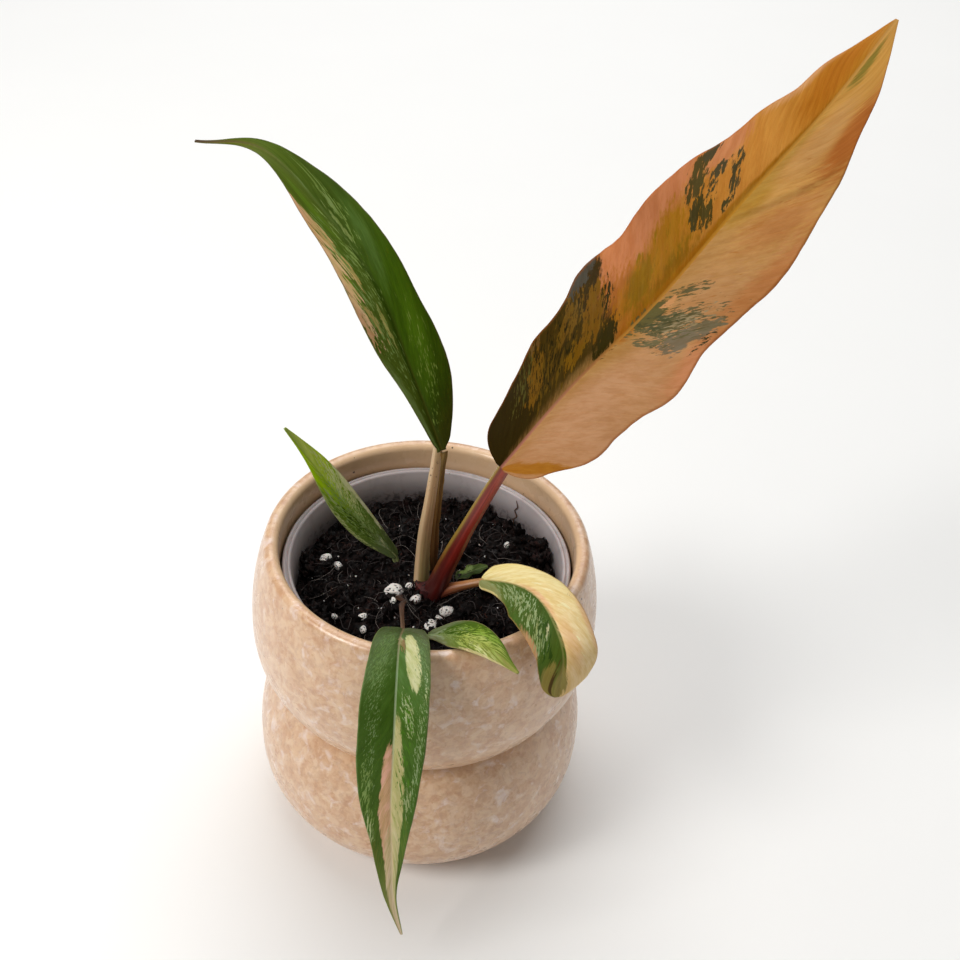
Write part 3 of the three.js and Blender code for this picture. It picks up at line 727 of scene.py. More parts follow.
def soil_height(x, y):
    reach = np.hypot(x, y) / nursery_inner_radius(SOIL["level"])
    mound_x, mound_y = SOIL["mound_centre"]
    from_crown = np.hypot(x - mound_x, y - mound_y) / SOIL["mound_radius"]
    waves = sum(height * np.sin(a * x + b * y + phase) for height, a, b, phase in SOIL_WAVES)
    return SOIL["level"] + waves + SOIL["mound"] * np.exp(-from_crown ** 2) - SOIL["edge_drop"] * reach ** 6


def heap_height(x, y):
    """A heap of soil that was pushed up against the wall on one side."""
    climb = np.clip((np.hypot(x, y) - HEAP["from"]) / (HEAP["to"] - HEAP["from"]), 0, 1) ** 2
    return HEAP["height"] * climb * np.exp(-((np.arctan2(y, x) - HEAP["bearing"]) / HEAP["spread"]) ** 2)


def lumpy_tree():
    tree, start, end = new_shape_tree("lumpy ground", [
        ("Lump Size", FLOAT, 0.004), ("Lump Height", FLOAT, 0.0012), ("Top Level", FLOAT, 0.092)])
    scale = calc(tree, "DIVIDE", 1.0, start["Lump Size"])
    coarse = add(tree, "ShaderNodeTexNoise", {
        "Vector": here(tree), "Scale": scale, "Detail": 3.0, "Roughness": 0.7}).outputs["Fac"]
    rise = times(tree, calc(tree, "SUBTRACT", coarse, 0.5), start["Lump Height"], 2.0)
    on_top = add(tree, "FunctionNodeCompare", {0: split(tree, here(tree))[2], 1: start["Top Level"]},
                 operation="GREATER_THAN")
    moved = add(tree, "GeometryNodeSetPosition", {
        "Geometry": start["Geometry"], "Selection": on_top, "Offset": join(tree, z=rise)})
    return close_tree(tree, start, end, moved)


# %% The soil's finish
def soil_finish(name, base, light, red):
    """Damp peat: nearly black, with browner and redder crumbs, and a wet gloss here and there."""
    material, tree, shader = new_finish(name, roughness=0.8, specular_ior_level=0.12)
    place = object_place(tree)
    body = tint(tree, ease(tree, noise(tree, place, 0.0016, 3.0), 0.42, 0.66), base, light)
    body = tint(tree, clouds(tree, place, 0.0035, 0.26, 0.06, 4.0), body, red, 0.7)
    body = tint(tree, specks(tree, place, 0.0022, 0.07, 0.1), body, "#5c504a")
    fill(tree, shader, {
        "Base Color": body,
        "Roughness": ease(tree, noise(tree, place, 0.0021), 0.35, 0.6, 0.34, 0.95),
        "Normal": bump(tree, noise(tree, place, 0.0007, 3.0), 0.0004, 0.8)})
    return material


SOIL_FINISH = soil_finish("damp_soil", "#040202", "#130b09", "#1c0e0c")


def soil_block():
    """The soil turned from its outline, with its top moved to the height of the waves and the heap."""
    floor_level = NURSERY_BASE + NURSERY["floor"] + CLEAR
    edge = nursery_inner_radius(SOIL["level"]) - SOIL_GAP
    rings = [(share * edge, SOIL["level"]) for share in np.linspace(1, 0, SOIL_STEPS["rings"])[1:-1]]
    rim = (edge, SOIL["level"] - SOIL["edge_drop"])
    foot = (nursery_inner_radius(floor_level) - SOIL_GAP, floor_level)
    outline = [(0, floor_level), foot, rim, *rings, (0, SOIL["level"])]
    block = turn("soil_block", outline, SOIL_STEPS["round"], SOIL_FINISH)
    places = np.zeros(len(block.data.vertices) * 3)
    block.data.vertices.foreach_get("co", places)
    places = places.reshape(-1, 3) / MM
    top = places[:, 2] > SOIL["level"] - 0.5
    x, y = places[top, 0], places[top, 1]
    places[top, 2] = soil_height(x, y) + heap_height(x, y)
    block.data.vertices.foreach_set("co", (places * MM).ravel())
    return block


block = soil_block()
soil_ground = run_tree(lumpy_tree(), "soil_ground", block.data, {**LUMPS, "Finish": SOIL_FINISH})
bpy.data.objects.remove(block)
hand_over(soil_ground, "soil", "soil")

# %% [markdown]
# What makes soil look like soil from close by is its loose top: clods of peat, a bank of crumbs
# that leans on the wall, fine crumbs everywhere and shreds of bark. Each kind is scattered by one
# geometry tree over the soil's top with a fixed seed. A crumb is a rough ball, stretched and
# turned at random. It has twenty sides where it is fine, and more in the clods and the bank.

# %% Crumbs and shreds
DENT = {"scale": 3.4, "depth": 3.2}


def points_on_soil(tree, start, below, reach, nearest=0.0):
    """Random points on the soil's top, between two distances from the axis."""
    x, y, level = split(tree, here(tree))
    from_axis = vector_calc(tree, "LENGTH", join(tree, x, y))
    chosen = times(tree, calc(tree, "GREATER_THAN", from_axis, nearest),
                   calc(tree, "LESS_THAN", from_axis, reach),
                   calc(tree, "GREATER_THAN", level, (SOIL["level"] - below) * MM))
    return add(tree, "GeometryNodeDistributePointsOnFaces", {
        "Mesh": start["Geometry"], "Selection": chosen, "Density": start["Density"],
        "Seed": start["Seed"]}).outputs["Points"]


def scatter_tree():
    tree, start, end = new_shape_tree("scattered crumbs", [
        ("Density", FLOAT, 100000.0), ("Smallest", VECTOR, (0.001, 0.001, 0.001)),
        ("Largest", VECTOR, (0.002, 0.002, 0.002)), ("From", FLOAT, 0.0), ("Reach", FLOAT, 0.042),
        ("Steepest Turn", FLOAT, 3.14), ("Detail", WHOLE, 1), ("Seed", WHOLE, 1)])
    points = points_on_soil(tree, start, 6, start["Reach"], start["From"])
    stone = add(tree, "GeometryNodeMeshIcoSphere", {"Radius": 0.5, "Subdivisions": start["Detail"]})
    dent = noise(tree, here(tree), 1 / DENT["scale"])
    swell = calc(tree, "MULTIPLY_ADD", dent, DENT["depth"], -DENT["depth"] / 2)
    rough = add(tree, "GeometryNodeSetPosition", {
        "Geometry": stone, "Offset": scaled(tree, here(tree), swell)})
    steepest = join(tree, start["Steepest Turn"], start["Steepest Turn"], math.pi)
    copies = add(tree, "GeometryNodeInstanceOnPoints", {
        "Points": points, "Instance": rough,
        "Rotation": random_vector(tree, scaled(tree, steepest, -1.0), steepest, 3),
        "Scale": random_vector(tree, start["Smallest"], start["Largest"], 5)})
    return close_tree(tree, start, end, copies)


SCATTER = scatter_tree()


def scatter(name, finish, density, smallest, largest, reach, steepest, seed, detail=1, nearest=0):
    return run_tree(SCATTER, name, soil_ground.data.copy(), {
        "Density": float(density), "Smallest": Vector(smallest) * MM, "Largest": Vector(largest) * MM,
        "From": nearest * MM, "Reach": reach * MM, "Steepest Turn": steepest, "Detail": detail,
        "Seed": seed, "Finish": finish})


CRUMB_FINISH = soil_finish("peat_crumbs", "#040202", "#1f1310", "#2a1715")
SHRED_FINISH = soil_finish("bark_shreds", "#100908", "#3a241c", "#452822")
LOOSE_SOIL = {
    "peat_clods": {
        "finish": SOIL_FINISH, "density": 26000, "smallest": (2.2, 2.0, 1.6), "largest": (5.6, 4.6, 3.6),
        "reach": 39.5, "steepest": 3.1, "seed": 12, "detail": 3},
    "peat_bank": {
        "finish": CRUMB_FINISH, "density": 150000, "smallest": (1.6, 1.4, 2.0), "largest": (5.0, 4.2, 8.4),
        "reach": 41.6, "steepest": 0.7, "seed": 14, "detail": 3, "nearest": 38.0},
    "peat_crumbs": {
        "finish": CRUMB_FINISH, "density": 360000, "smallest": (0.6, 0.4, 0.4), "largest": (2.6, 1.5, 1.3),
        "reach": 42, "steepest": 3.1, "seed": 4},
    "bark_shreds": {
        "finish": SHRED_FINISH, "density": 100000, "smallest": (1.4, 0.25, 0.2), "largest": (5.4, 0.6, 0.5),
        "reach": 41, "steepest": 0.9, "seed": 9},
}
for title, traits in LOOSE_SOIL.items():
    hand_over(scatter(title, **traits), "soil")

# %% [markdown]
# Root hairs and coconut fibres lie over the crumbs as thin bent threads. The tree puts a point
# for each thread on the soil, lays an arc on it with a random heading and length, bends it with
# noise, and sweeps a four-sided section along it, which is enough for so thin a thing.

# %% Root hairs
THREAD_ARC = {"Start": (-0.5, 0.0, 0.02), "Middle": (0.0, 0.45, 0.3), "End": (0.5, 0.0, 0.06)}
THREAD_TURNS = ((-0.25, -0.35, -3.14), (0.35, 0.35, 3.14))
THREAD_LENGTHS = (0.35, 1.25)
THREAD_REACH = 38 * MM
BEND_SCALE = 130.0


def thread_tree():
    tree, start, end = new_shape_tree("root hairs", [
        ("Density", FLOAT, 20000.0), ("Length", FLOAT, 0.008), ("Thickness", FLOAT, 0.00016),
        ("Wander", FLOAT, 0.003), ("Seed", WHOLE, 1)])
    points = points_on_soil(tree, start, 4, THREAD_REACH)
    arc = add(tree, "GeometryNodeCurveQuadraticBezier", {"Resolution": 9, **THREAD_ARC})
    share = add(tree, "FunctionNodeRandomValue", {2: THREAD_LENGTHS[0], 3: THREAD_LENGTHS[1], "Seed": 8},
                data_type="FLOAT").outputs[1]
    length = times(tree, share, start["Length"])
    copies = add(tree, "GeometryNodeInstanceOnPoints", {
        "Points": points, "Instance": arc, "Rotation": random_vector(tree, *THREAD_TURNS, 2),
        "Scale": join(tree, length, length, length)})
    real = add(tree, "GeometryNodeRealizeInstances", {"Geometry": copies})
    wander = add(tree, "ShaderNodeTexNoise", {"Vector": here(tree), "Scale": BEND_SCALE, "Detail": 1.0})
    drift = vector_calc(tree, "SUBTRACT", wander.outputs["Color"], (0.5, 0.5, 0.5))
    bent = add(tree, "GeometryNodeSetPosition", {
        "Geometry": real, "Offset": scaled(tree, drift, start["Wander"])})
    section = add(tree, "GeometryNodeCurvePrimitiveCircle", {"Resolution": 4, "Radius": 0.5})
    tube = add(tree, "GeometryNodeCurveToMesh", {
        "Curve": bent, "Profile Curve": section, "Scale": start["Thickness"], "Fill Caps": True})
    return close_tree(tree, start, end, tube)


def thread_finish(name, dark, pale):
    material, tree, shader = new_finish(name, roughness=0.6)
    fill(tree, shader, {"Base Color": tint(tree, noise(tree, object_place(tree), 0.006), dark, pale)})
    return material


THREADS = {
    "root_hairs": {
        "Density": 6500.0, "Length": 12 * MM, "Thickness": 0.11 * MM, "Wander": 2.6 * MM, "Seed": 3,
        "Finish": thread_finish("root_hair", "#3a302c", "#a0968e")},
    "dark_fibres": {
        "Density": 60000.0, "Length": 6 * MM, "Thickness": 0.3 * MM, "Wander": 4 * MM, "Seed": 6,
        "Finish": thread_finish("dark_fibre", "#0d0808", "#2a1a16")},
}
threading = thread_tree()
for title, traits in THREADS.items():
    hand_over(run_tree(threading, title, soil_ground.data.copy(), traits), "soil")


# %% [markdown]
# Perlite is puffed volcanic glass: white, chalky and full of small burst bubbles. One tree makes a
# grain from its radius, place and seed. It swells a ball with soft noise, sinks a pit into each
# cell of a cell pattern, and keeps how deep each point lies in a pit, so that the finish can
# darken the pits.

# %% Perlite grains
GRAINS = [
    (-10.2, -8, 2.8), (-5.3, -6, 1.4), (-27.9, -20, 1), (-2.6, -10.8, 1.7), (-9.8, -12.8, 1.2),
    (7.8, -15, 2), (3.2, -22, 2.2), (5.2, -18.4, 1.3), (-34.9, 6, 2), (-30.5, 4.2, 1.5),
    (-18.7, -20.1, 1.4), (-17.8, -26, 1.2), (-40, -1, 0.8), (26.4, 21, 1.2), (2.6, 19.5, 1.2)]
GRAIN = {"rise": 0.3, "stretch": (1.2, 0.9, 0.86), "turn": 1.3, "pit": 0.24, "swell": 0.5, "seed": 3.7}
GRAIN_CELLS = {"least": 1.1, "per_mm": 0.85, "burst": 0.7, "edge": (0.5, 0.3)}
GRAIN_SWELL_SCALE = 0.9


def perlite_tree():
    tree, start, end = new_shape_tree("perlite grain", [
        ("Radius", FLOAT, 0.002), ("Swell", FLOAT, 0.3), ("Pit Depth", FLOAT, 0.16),
        ("Pit Share", FLOAT, 3.2), ("Seed", FLOAT, 0.0), ("Place", VECTOR, None),
        ("Stretch", VECTOR, None), ("Turn", FLOAT, 0.0)])
    ball = add(tree, "GeometryNodeMeshIcoSphere", {"Radius": 1.0, "Subdivisions": 5})
    pattern = shifted(tree, here(tree), start["Seed"])
    cells = add(tree, "ShaderNodeTexVoronoi", {"Vector": pattern, "Scale": start["Pit Share"]})
    chance = split(tree, cells.outputs["Color"])[0]
    pit = times(tree, ease(tree, cells.outputs["Distance"], *GRAIN_CELLS["edge"]),
                calc(tree, "LESS_THAN", chance, GRAIN_CELLS["burst"]))
    soft = calc(tree, "SUBTRACT", noise(tree, pattern, 1 / GRAIN_SWELL_SCALE), 0.5)
    lift = calc(tree, "SUBTRACT", times(tree, soft, start["Swell"]), times(tree, pit, start["Pit Depth"]))
    shaped = add(tree, "GeometryNodeSetPosition", {
        "Geometry": keep_value(tree, ball, "pit", pit), "Offset": scaled(tree, here(tree), lift)})
    set_down = add(tree, "GeometryNodeTransform", {
        "Geometry": shaped, "Scale": scaled(tree, start["Stretch"], start["Radius"]),
        "Rotation": join(tree, z=start["Turn"]), "Translation": start["Place"]})
    return close_tree(tree, start, end, set_down)


def perlite_finish():
    material, tree, shader = new_finish(
        "chalky_perlite", roughness=0.85, subsurface_weight=0.1, subsurface_scale=0.001)
    place = object_place(tree)
    body = tint(tree, noise(tree, place, 0.0008, 3.0), "#d0cac4", "#ece8e3")
    body = tint(tree, clouds(tree, place, 0.0011, 0.2, 0.05, 2.0), body, "#8d837a", 0.5)
    body = tint(tree, ease(tree, kept_value(tree, "pit"), 0.2, 0.6), body, "#1a1413")
    fill(tree, shader, {
        "Base Color": body, "Normal": bump(tree, noise(tree, place, 0.0003, 3.0), 0.0002, 0.6)})
    return material


def place_perlite(finish):
    tree = perlite_tree()
    for number, (x, y, radius) in enumerate(GRAINS):
        level = float(soil_height(x, y)) + GRAIN["rise"] * radius
        seed_point = chain("grain_start", [(0, 0, 0), (0, 0, 1)])
        piece = run_tree(tree, f"perlite_grain_{number + 1}", seed_point, {
            "Radius": radius * MM, "Swell": GRAIN["swell"], "Pit Depth": GRAIN["pit"],
            "Pit Share": GRAIN_CELLS["least"] + GRAIN_CELLS["per_mm"] * radius,
            "Seed": GRAIN["seed"] * number, "Place": Vector((x, y, level)) * MM,
            "Stretch": Vector(GRAIN["stretch"]), "Turn": number * GRAIN["turn"], "Finish": finish})
        hand_over(piece, "perlite", f"perlite_{number + 1}")


PERLITE_FINISH = perlite_finish()
PERLITE_DUST = {"density": 9500, "smallest": (0.5, 0.4, 0.4), "largest": (1.1, 0.9, 0.8), "reach": 39,
                "steepest": 3.1, "seed": 21, "detail": 2}
place_perlite(PERLITE_FINISH)
hand_over(scatter("perlite_crumbs", PERLITE_FINISH, **PERLITE_DUST), "perlite")

# %% [markdown]
# Curves and stalks. A stalk is a fleshy rod along a smooth path: thick where it leaves the
# crown, thinner under the leaf, and channelled on one side. The path is the same smooth curve
# through the same few points as in the solid. The tree sweeps a grooved section along it. It
# keeps the place along the stalk and the side of the section on every point, because the finish
# paints its stripes by them.

# %% A smooth curve through points
def curve(points, shares):
    """Catmull-Rom curve through points, its ends drawn on straight: shares run from 0 to 1."""
    p = np.asarray(points, float)
    spans = len(p) - 1
    t = np.clip(np.asarray(shares, float), 0, 1) * spans
    i = np.clip(np.floor(t).astype(int), 0, spans - 1)
    w = (t - i)[..., None]
    ends = np.vstack([2 * p[0] - p[1], p, 2 * p[-1] - p[-2]])
    a, b, c, d = ends[i], ends[i + 1], ends[i + 2], ends[i + 3]
    square, cube = (2 * a - 5 * b + 4 * c - d) * w ** 2, (3 * b - 3 * c + d - a) * w ** 3
    return 0.5 * (2 * b + (c - a) * w + square + cube)


def unit(vectors):
    return vectors / np.linalg.norm(vectors, axis=-1, keepdims=True)


# %% The stalk tree
RIBS_ROUND = 11.0
STALK_STEPS = {"sides": 40, "along": 70}
STALK_SWELLS = {"slow": (0.02, 9), "fast": (0.012, 31)}


def stalk_tree():
    tree, start, end = new_shape_tree("fleshy stalk", [
        ("Groove", FLOAT, 0.0), ("Ribs", FLOAT, 0.02), ("Groove Side", VECTOR, (0, -1, 0)),
        ("Sides", WHOLE, 40)])
    path = add(tree, "GeometryNodeMeshToCurve", {"Mesh": start["Geometry"]})
    facing = add(tree, "GeometryNodeSetCurveNormal", {"Curve": path, "Normal": start["Groove Side"]},
                 mode="FREE")
    along = add(tree, "GeometryNodeSplineParameter").outputs["Factor"]
    section = add(tree, "GeometryNodeCurvePrimitiveCircle", {
        "Resolution": start["Sides"], "Radius": 1.0})
    kept = keep_value(tree, section, "section", here(tree), data_type="FLOAT_VECTOR")
    x, y, _ = split(tree, here(tree))
    facing_out = calc(tree, "POWER", calc(tree, "MAXIMUM", x, 0.0), 4.0)
    channel = calc(tree, "SUBTRACT", 1.0, times(tree, start["Groove"], facing_out))
    turns = times(tree, calc(tree, "ARCTAN2", y, x), RIBS_ROUND)
    swell = calc(tree, "ADD", 1.0, times(tree, calc(tree, "COSINE", turns), start["Ribs"]))
    grooved = join(tree, times(tree, x, channel, swell), times(tree, y, swell))
    cut = add(tree, "GeometryNodeSetPosition", {"Geometry": kept, "Position": grooved})
    rod = add(tree, "GeometryNodeCurveToMesh", {
        "Curve": keep_value(tree, facing, "along", along), "Profile Curve": cut,
        "Scale": add(tree, "GeometryNodeInputNamedAttribute", {"Name": "girth"}), "Fill Caps": True})
    return close_tree(tree, start, end, rod)


STALKING = stalk_tree()


def stalk(name, points, radii, finish, groove=0.0, side=(0, -1, 0), ribs=0.012):
    """A rod through points in millimetres: radii are spread evenly from its first point to its last."""
    shares = np.linspace(0, 1, STALK_STEPS["along"] + 1)
    girths = np.interp(shares, np.linspace(0, 1, len(radii)), radii)
    (slow, long_wave), (fast, short_wave) = STALK_SWELLS["slow"], STALK_SWELLS["fast"]
    swells = 1 + slow * np.sin(long_wave * shares + len(name)) + fast * np.sin(short_wave * shares)
    mesh = chain(name + "_path", curve(points, shares))
    mesh.attributes.new("girth", "FLOAT", "POINT").data.foreach_set("value", girths * swells * MM)
    return run_tree(STALKING, name, mesh, {
        "Groove": groove, "Ribs": ribs, "Groove Side": Vector(side).normalized(),
        "Sides": STALK_STEPS["sides"], "Finish": finish})


# %% [markdown]
# A stalk's colour runs along it and round it. The red stalk of the caramel leaf is dark red at
# the crown, brighter red above, and pinkish brown under the leaf, with a green-yellow stripe on
# its left. The tan ones are straw-coloured with fine darker lines, and brown spots near the top.

# %% Stalk finishes
def stalk_finish(name, stops, stripe, side, edge, lines, roughness=0.42, spots=None, stripe_from=0.0):
    """stops colour the stalk from base to top. The stripe lies where the section faces side."""
    material, tree, shader = new_finish(
        name, roughness=roughness, coat_weight=0.15, coat_roughness=0.3, subsurface_weight=0.08,
        subsurface_scale=0.002)
    place, along = object_place(tree), kept_value(tree, "along")
    section = kept_value(tree, "section", "Vector")
    uneven = calc(tree, "MULTIPLY_ADD", noise(tree, place, 0.005), 0.16, along)
    body = ramp(tree, calc(tree, "SUBTRACT", uneven, 0.08), stops)
    stretched = vector_calc(tree, "MULTIPLY", section, (2.6, 2.6, 1.0))
    streak_place = vector_calc(tree, "ADD", stretched, join(tree, z=times(tree, along, 3.0)))
    streak = noise(tree, streak_place, 0.6, 3.0)
    body = tint(tree, ease(tree, streak, 0.5, 0.68, 0.0, 0.55), body, lines)
    turned = vector_calc(tree, "DOT_PRODUCT", section, side)
    ragged = calc(tree, "MULTIPLY_ADD", calc(tree, "SUBTRACT", streak, 0.5), 0.5, turned)
    striped = ease(tree, ragged, edge - 0.2, edge + 0.2)
    if stripe_from:
        striped = times(tree, striped, ease(tree, uneven, stripe_from, stripe_from + 0.3))
    body = tint(tree, striped, body, stripe)
    body = tint(tree, ease(tree, split(tree, section)[0], 0.86, 1.0, 0.0, 0.5), body, lines)
    if spots:
        upper = ease(tree, along, spots["from"], spots["from"] + 0.1)
        blotches = clouds(tree, place, spots["size"], spots["amount"], 0.03, 6.0)
        body = tint(tree, times(tree, blotches, upper), body, spots["colour"])
    fill(tree, shader, {"Base Color": body, "Normal": bump(tree, streak, 0.0002, 0.5)})
    return material


RED_STALK = stalk_finish(
    "red_stalk", [(0, "#360b08"), (0.16, "#5c1209"), (0.42, "#8c1d0e"), (0.68, "#963420"),
                  (0.84, "#a8604a"), (1, "#bd8668")],
    stripe="#94782e", side=(0.35, -0.94, 0), edge=0.58, lines="#3c0a06", stripe_from=0.16)
TAN_STALK = stalk_finish(
    "tan_stalk", [(0, "#8a8748"), (0.2, "#ac9c6c"), (0.45, "#c8a17c"), (0.8, "#bd956a"), (1, "#9c884c")],
    stripe="#d0b088", side=(0.2, -0.98, 0), edge=0.5, lines="#96744c",
    spots={"from": 0.62, "size": 0.0013, "amount": 0.22, "colour": "#5a3c24"})
CURLED_STALK = stalk_finish(
    "orange_brown_stalk", [(0, "#451812"), (0.22, "#743420"), (0.5, "#a0683a"), (1, "#b88c50")],
    stripe="#8c4028", side=(0, 0.9, 0), edge=0.5, lines="#5c2c1a")
BROWN_STALK = stalk_finish(
    "brown_stalk", [(0, "#20140f"), (0.6, "#4a2f22"), (1, "#8a6a4a")],
    stripe="#6b4a36", side=(1, 0, 0), edge=0.6, lines="#1a100c")
GREEN_STALK = stalk_finish(
    "green_stalk", [(0, "#4b4a2a"), (0.5, "#5f6a38"), (1, "#7c8f5a")],
    stripe="#8f9a66", side=(1, 0, 0), edge=0.5, lines="#3d4424")
CROWN_FINISH = stalk_finish(
    "crown_skin", [(0, "#1a0909"), (0.5, "#34100f"), (1, "#481314")],
    stripe="#5c1e1a", side=(0, -1, 0), edge=0.7, lines="#1c0809", roughness=0.55,
    spots={"from": 0.3, "size": 0.0012, "amount": 0.4, "colour": "#140908"})

# %% [markdown]
# Leaves. Each blade is a strip that follows its midrib. For every step along the midrib there is
# a direction that the upper side faces, a width to the left and one to the right, a fold that
# lifts both halves and a cup that bends their edges, and slow waves along the margin. The base is
# rounded, and so is the end of a blade that asks for it. The solid was made by the same rule and
# nearly the same numbers. Here the strip gets ten times the detail: a channel over the midrib and
# a keel under it, side veins that quilt the surface, fine puckers, and a margin that thins to an
# edge.

# %% The blade's middle surface
TIP_HALF = 0.4
SPINE_STEP = 0.001
END_ROUNDING = 0.9


def between(pair, share):
    return pair[0] + (pair[1] - pair[0]) * share


def blade_surface(blade, u, v):
    """Points of the middle surface: u runs from base to tip, v from the left edge -1 to the right 1."""
    middle = curve(blade["spine"], u)
    onward = curve(blade["spine"], np.minimum(u + SPINE_STEP, 1))
    ahead = unit(onward - curve(blade["spine"], np.maximum(u - SPINE_STEP, 0)))
    side = unit(np.cross(ahead, curve(blade["facing"], u)))
    up = np.cross(side, ahead)
    share = np.minimum(u / blade["base"], 1)
    widths = curve(blade["halves"], u)
    rounding = np.sqrt(1 - (1 - share) ** 2)
    if "round_end" in blade:
        near_end = np.clip(1 - (1 - u) / blade["round_end"], 0, 1)
        rounding = rounding * np.sqrt(1 - END_ROUNDING * near_end ** 2)
    least = blade["neck"] + (TIP_HALF - blade["neck"]) * share
    half = np.maximum(np.where(v < 0, widths[..., 0], widths[..., 1]) * rounding, least)
    reach = np.abs(v)
    fold = np.radians(between(blade["fold"], u))
    lift = reach * half * np.sin(fold) + between(blade["cup"], u) * half * reach ** 2
    for height, count, phase, left_phase in blade["waves"]:
        turn_angle = 2 * math.pi * count * u + phase + np.where(v < 0, left_phase, 0)
        lift = lift + height * np.sin(turn_angle) * reach ** 2 * np.sin(math.pi * u)
    return middle + side * (v * half * np.cos(fold))[..., None] + up * lift[..., None], half


def ripple(seed, *axes):
    """Smooth unevenness between -1 and 1: a few crossed waves with seeded lengths and phases."""
    draw = np.random.default_rng(seed)
    total = 0
    for octave in range(6):
        turns = sum(axis * draw.uniform(0.6, 1.4) * draw.choice((-1, 1)) for axis in axes)
        wave = np.sin(turns * (1 + 0.7 * octave) + draw.uniform(0, 2 * math.pi))
        total = total + wave / (1 + 0.6 * octave)
    return total / 3


# %% A blade as a closed mesh
BLADE_DEFAULTS = {"vein_depth": 0.09, "thick": 0.56, "edge_thick": 0.2, "channel": 0.35, "creases": [],
                  "rows": 200, "lanes": 44, "ragged": 0.0}
PUCKERS = {"broad": (5.5, 4), "fine": (2.1, 1.9), "fine_share": 0.25}
SURFACE_STEP = 0.004


def spine_length(blade):
    points = curve(blade["spine"], np.linspace(0, 1, 200))
    return float(np.linalg.norm(np.diff(points, axis=0), axis=1).sum())


def blade_relief(blade, u, v, half, length):
    """Height of the fine relief above the middle surface, in millimetres."""
    reach, along_leaf, across_leaf = np.abs(v), u * length, v * half
    arch = np.sin(math.pi * np.clip(u, 0, 1))
    foot = (u - blade["sweep"] * reach) * length
    quilt = -blade["vein_depth"] * (0.5 + 0.5 * np.cos(2 * math.pi * foot / blade["vein_gap"])) ** 3
    open_skin = np.clip((reach * half - 0.8) / 1.5, 0, 1) * (1 - reach ** 6) * arch ** 0.5
    (long, wide), (short, narrow) = PUCKERS["broad"], PUCKERS["fine"]
    pucker = blade["pucker"] * ripple(blade["seed"], along_leaf / long, across_leaf / wide) * reach
    fine = ripple(blade["seed"] + 1, along_leaf / short, across_leaf / narrow) * reach
    fine = PUCKERS["fine_share"] * blade["pucker"] * fine
    channel = -blade["channel"] * np.exp(-(across_leaf / 0.9) ** 2) * (1 - 0.6 * u)
    relief = quilt * open_skin + (pucker + fine) * arch ** 0.4 + channel
    for (u0, v0), (u1, v1), height, width in blade["creases"]:
        along = np.clip((v - v0) / (v1 - v0), 0, 1)
        away = (u - (u0 + (u1 - u0) * along)) * length
        inside = np.sin(math.pi * along) ** 0.5
        relief = relief + height * inside * (np.tanh(away / width) * np.exp(-(away / (6 * width)) ** 2))
    return relief


def surface_run(blade, u, v, du, dv):
    """The way the middle surface runs: along the blade for a step du, or across it for dv."""
    after = blade_surface(blade, np.minimum(u + du, 1), np.minimum(v + dv, 1))[0]
    before = blade_surface(blade, np.maximum(u - du, 0), np.maximum(v - dv, -1))[0]
    return after - before


def blade_mesh(name, blade):
    length = spine_length(blade)
    across = np.linspace(-1, 1, blade["lanes"] + 1)
    across = np.sign(across) * np.abs(across) ** 1.25
    down = np.linspace(0, 1, blade["rows"] + 1) ** 1.1
    u, v = np.meshgrid(down, across, indexing="ij")
    margin = 1 + blade["ragged"] * ripple(blade["seed"] + 5, u * length / 2.2, np.sign(v) * 2)
    margin = margin + 0.012 * ripple(blade["seed"] + 6, u * length / 4, np.sign(v) * 3)
    points, half = blade_surface(blade, u, v)
    aside = surface_run(blade, u, v, 0, SURFACE_STEP)
    normal = unit(np.cross(aside, surface_run(blade, u, v, SURFACE_STEP, 0)))
    points = points + unit(aside) * (v * half * (margin - 1) * np.abs(v) ** 2)[..., None]
    relief = blade_relief(blade, u, v, half, length)
    fullness = (1 - np.abs(v) ** 3) * (1 - 0.5 * u)
    thick = blade["edge_thick"] + (blade["thick"] - blade["edge_thick"]) * fullness
    keel_width = 0.75 + 0.9 * (1 - u)
    keel = blade["keel"] * (1 - 0.8 * u) * np.exp(-(v * half / keel_width) ** 2)
    top = points + normal * (relief + thick / 2)[..., None]
    bottom = points + normal * (relief - thick / 2 - keel)[..., None]
    maps = {"leaf": np.stack([u, v], -1),
            "veins": np.stack([(u - blade["sweep"] * np.abs(v)) * length, v * half], -1)}
    return close_blade(name, top, bottom, maps)


def close_blade(name, top, bottom, maps):
    """Joins the two faces round the edge, and gives each point its place on the leaf as two maps."""
    rows, lanes = top.shape[:2]
    count = rows * lanes
    index = np.arange(count).reshape(rows, lanes)
    a, b, c, d = index[:-1, :-1], index[:-1, 1:], index[1:, 1:], index[1:, :-1]
    upper = np.stack([a, b, c, d], -1).reshape(-1, 4)
    lower = np.stack([a, d, c, b], -1).reshape(-1, 4) + count
    rim = np.concatenate([index[0, :-1], index[:-1, -1], index[-1, :0:-1], index[:0:-1, 0]])
    after = np.roll(rim, -1)
    band = np.stack([rim + count, after + count, after, rim], -1)
    mesh = bpy.data.meshes.new(name)
    places = np.concatenate([top.reshape(-1, 3), bottom.reshape(-1, 3)]) * MM
    mesh.from_pydata(places.tolist(), [], np.concatenate([upper, lower, band]).tolist())
    corners = np.zeros(len(mesh.loops), np.int32)
    mesh.loops.foreach_get("vertex_index", corners)
    for title, values in maps.items():
        both = np.concatenate([values, values]).reshape(-1, 2)
        mesh.uv_layers.new(name=title).data.foreach_set("uv", both[corners].ravel())
    under = np.concatenate([np.zeros(count), np.ones(count)])
    mesh.attributes.new("underside", "FLOAT", "POINT").data.foreach_set("value", under)
    mesh.polygons.foreach_set("use_smooth", np.ones(len(mesh.polygons), bool))
    mesh.update()
    face_outwards(mesh)
    return mesh


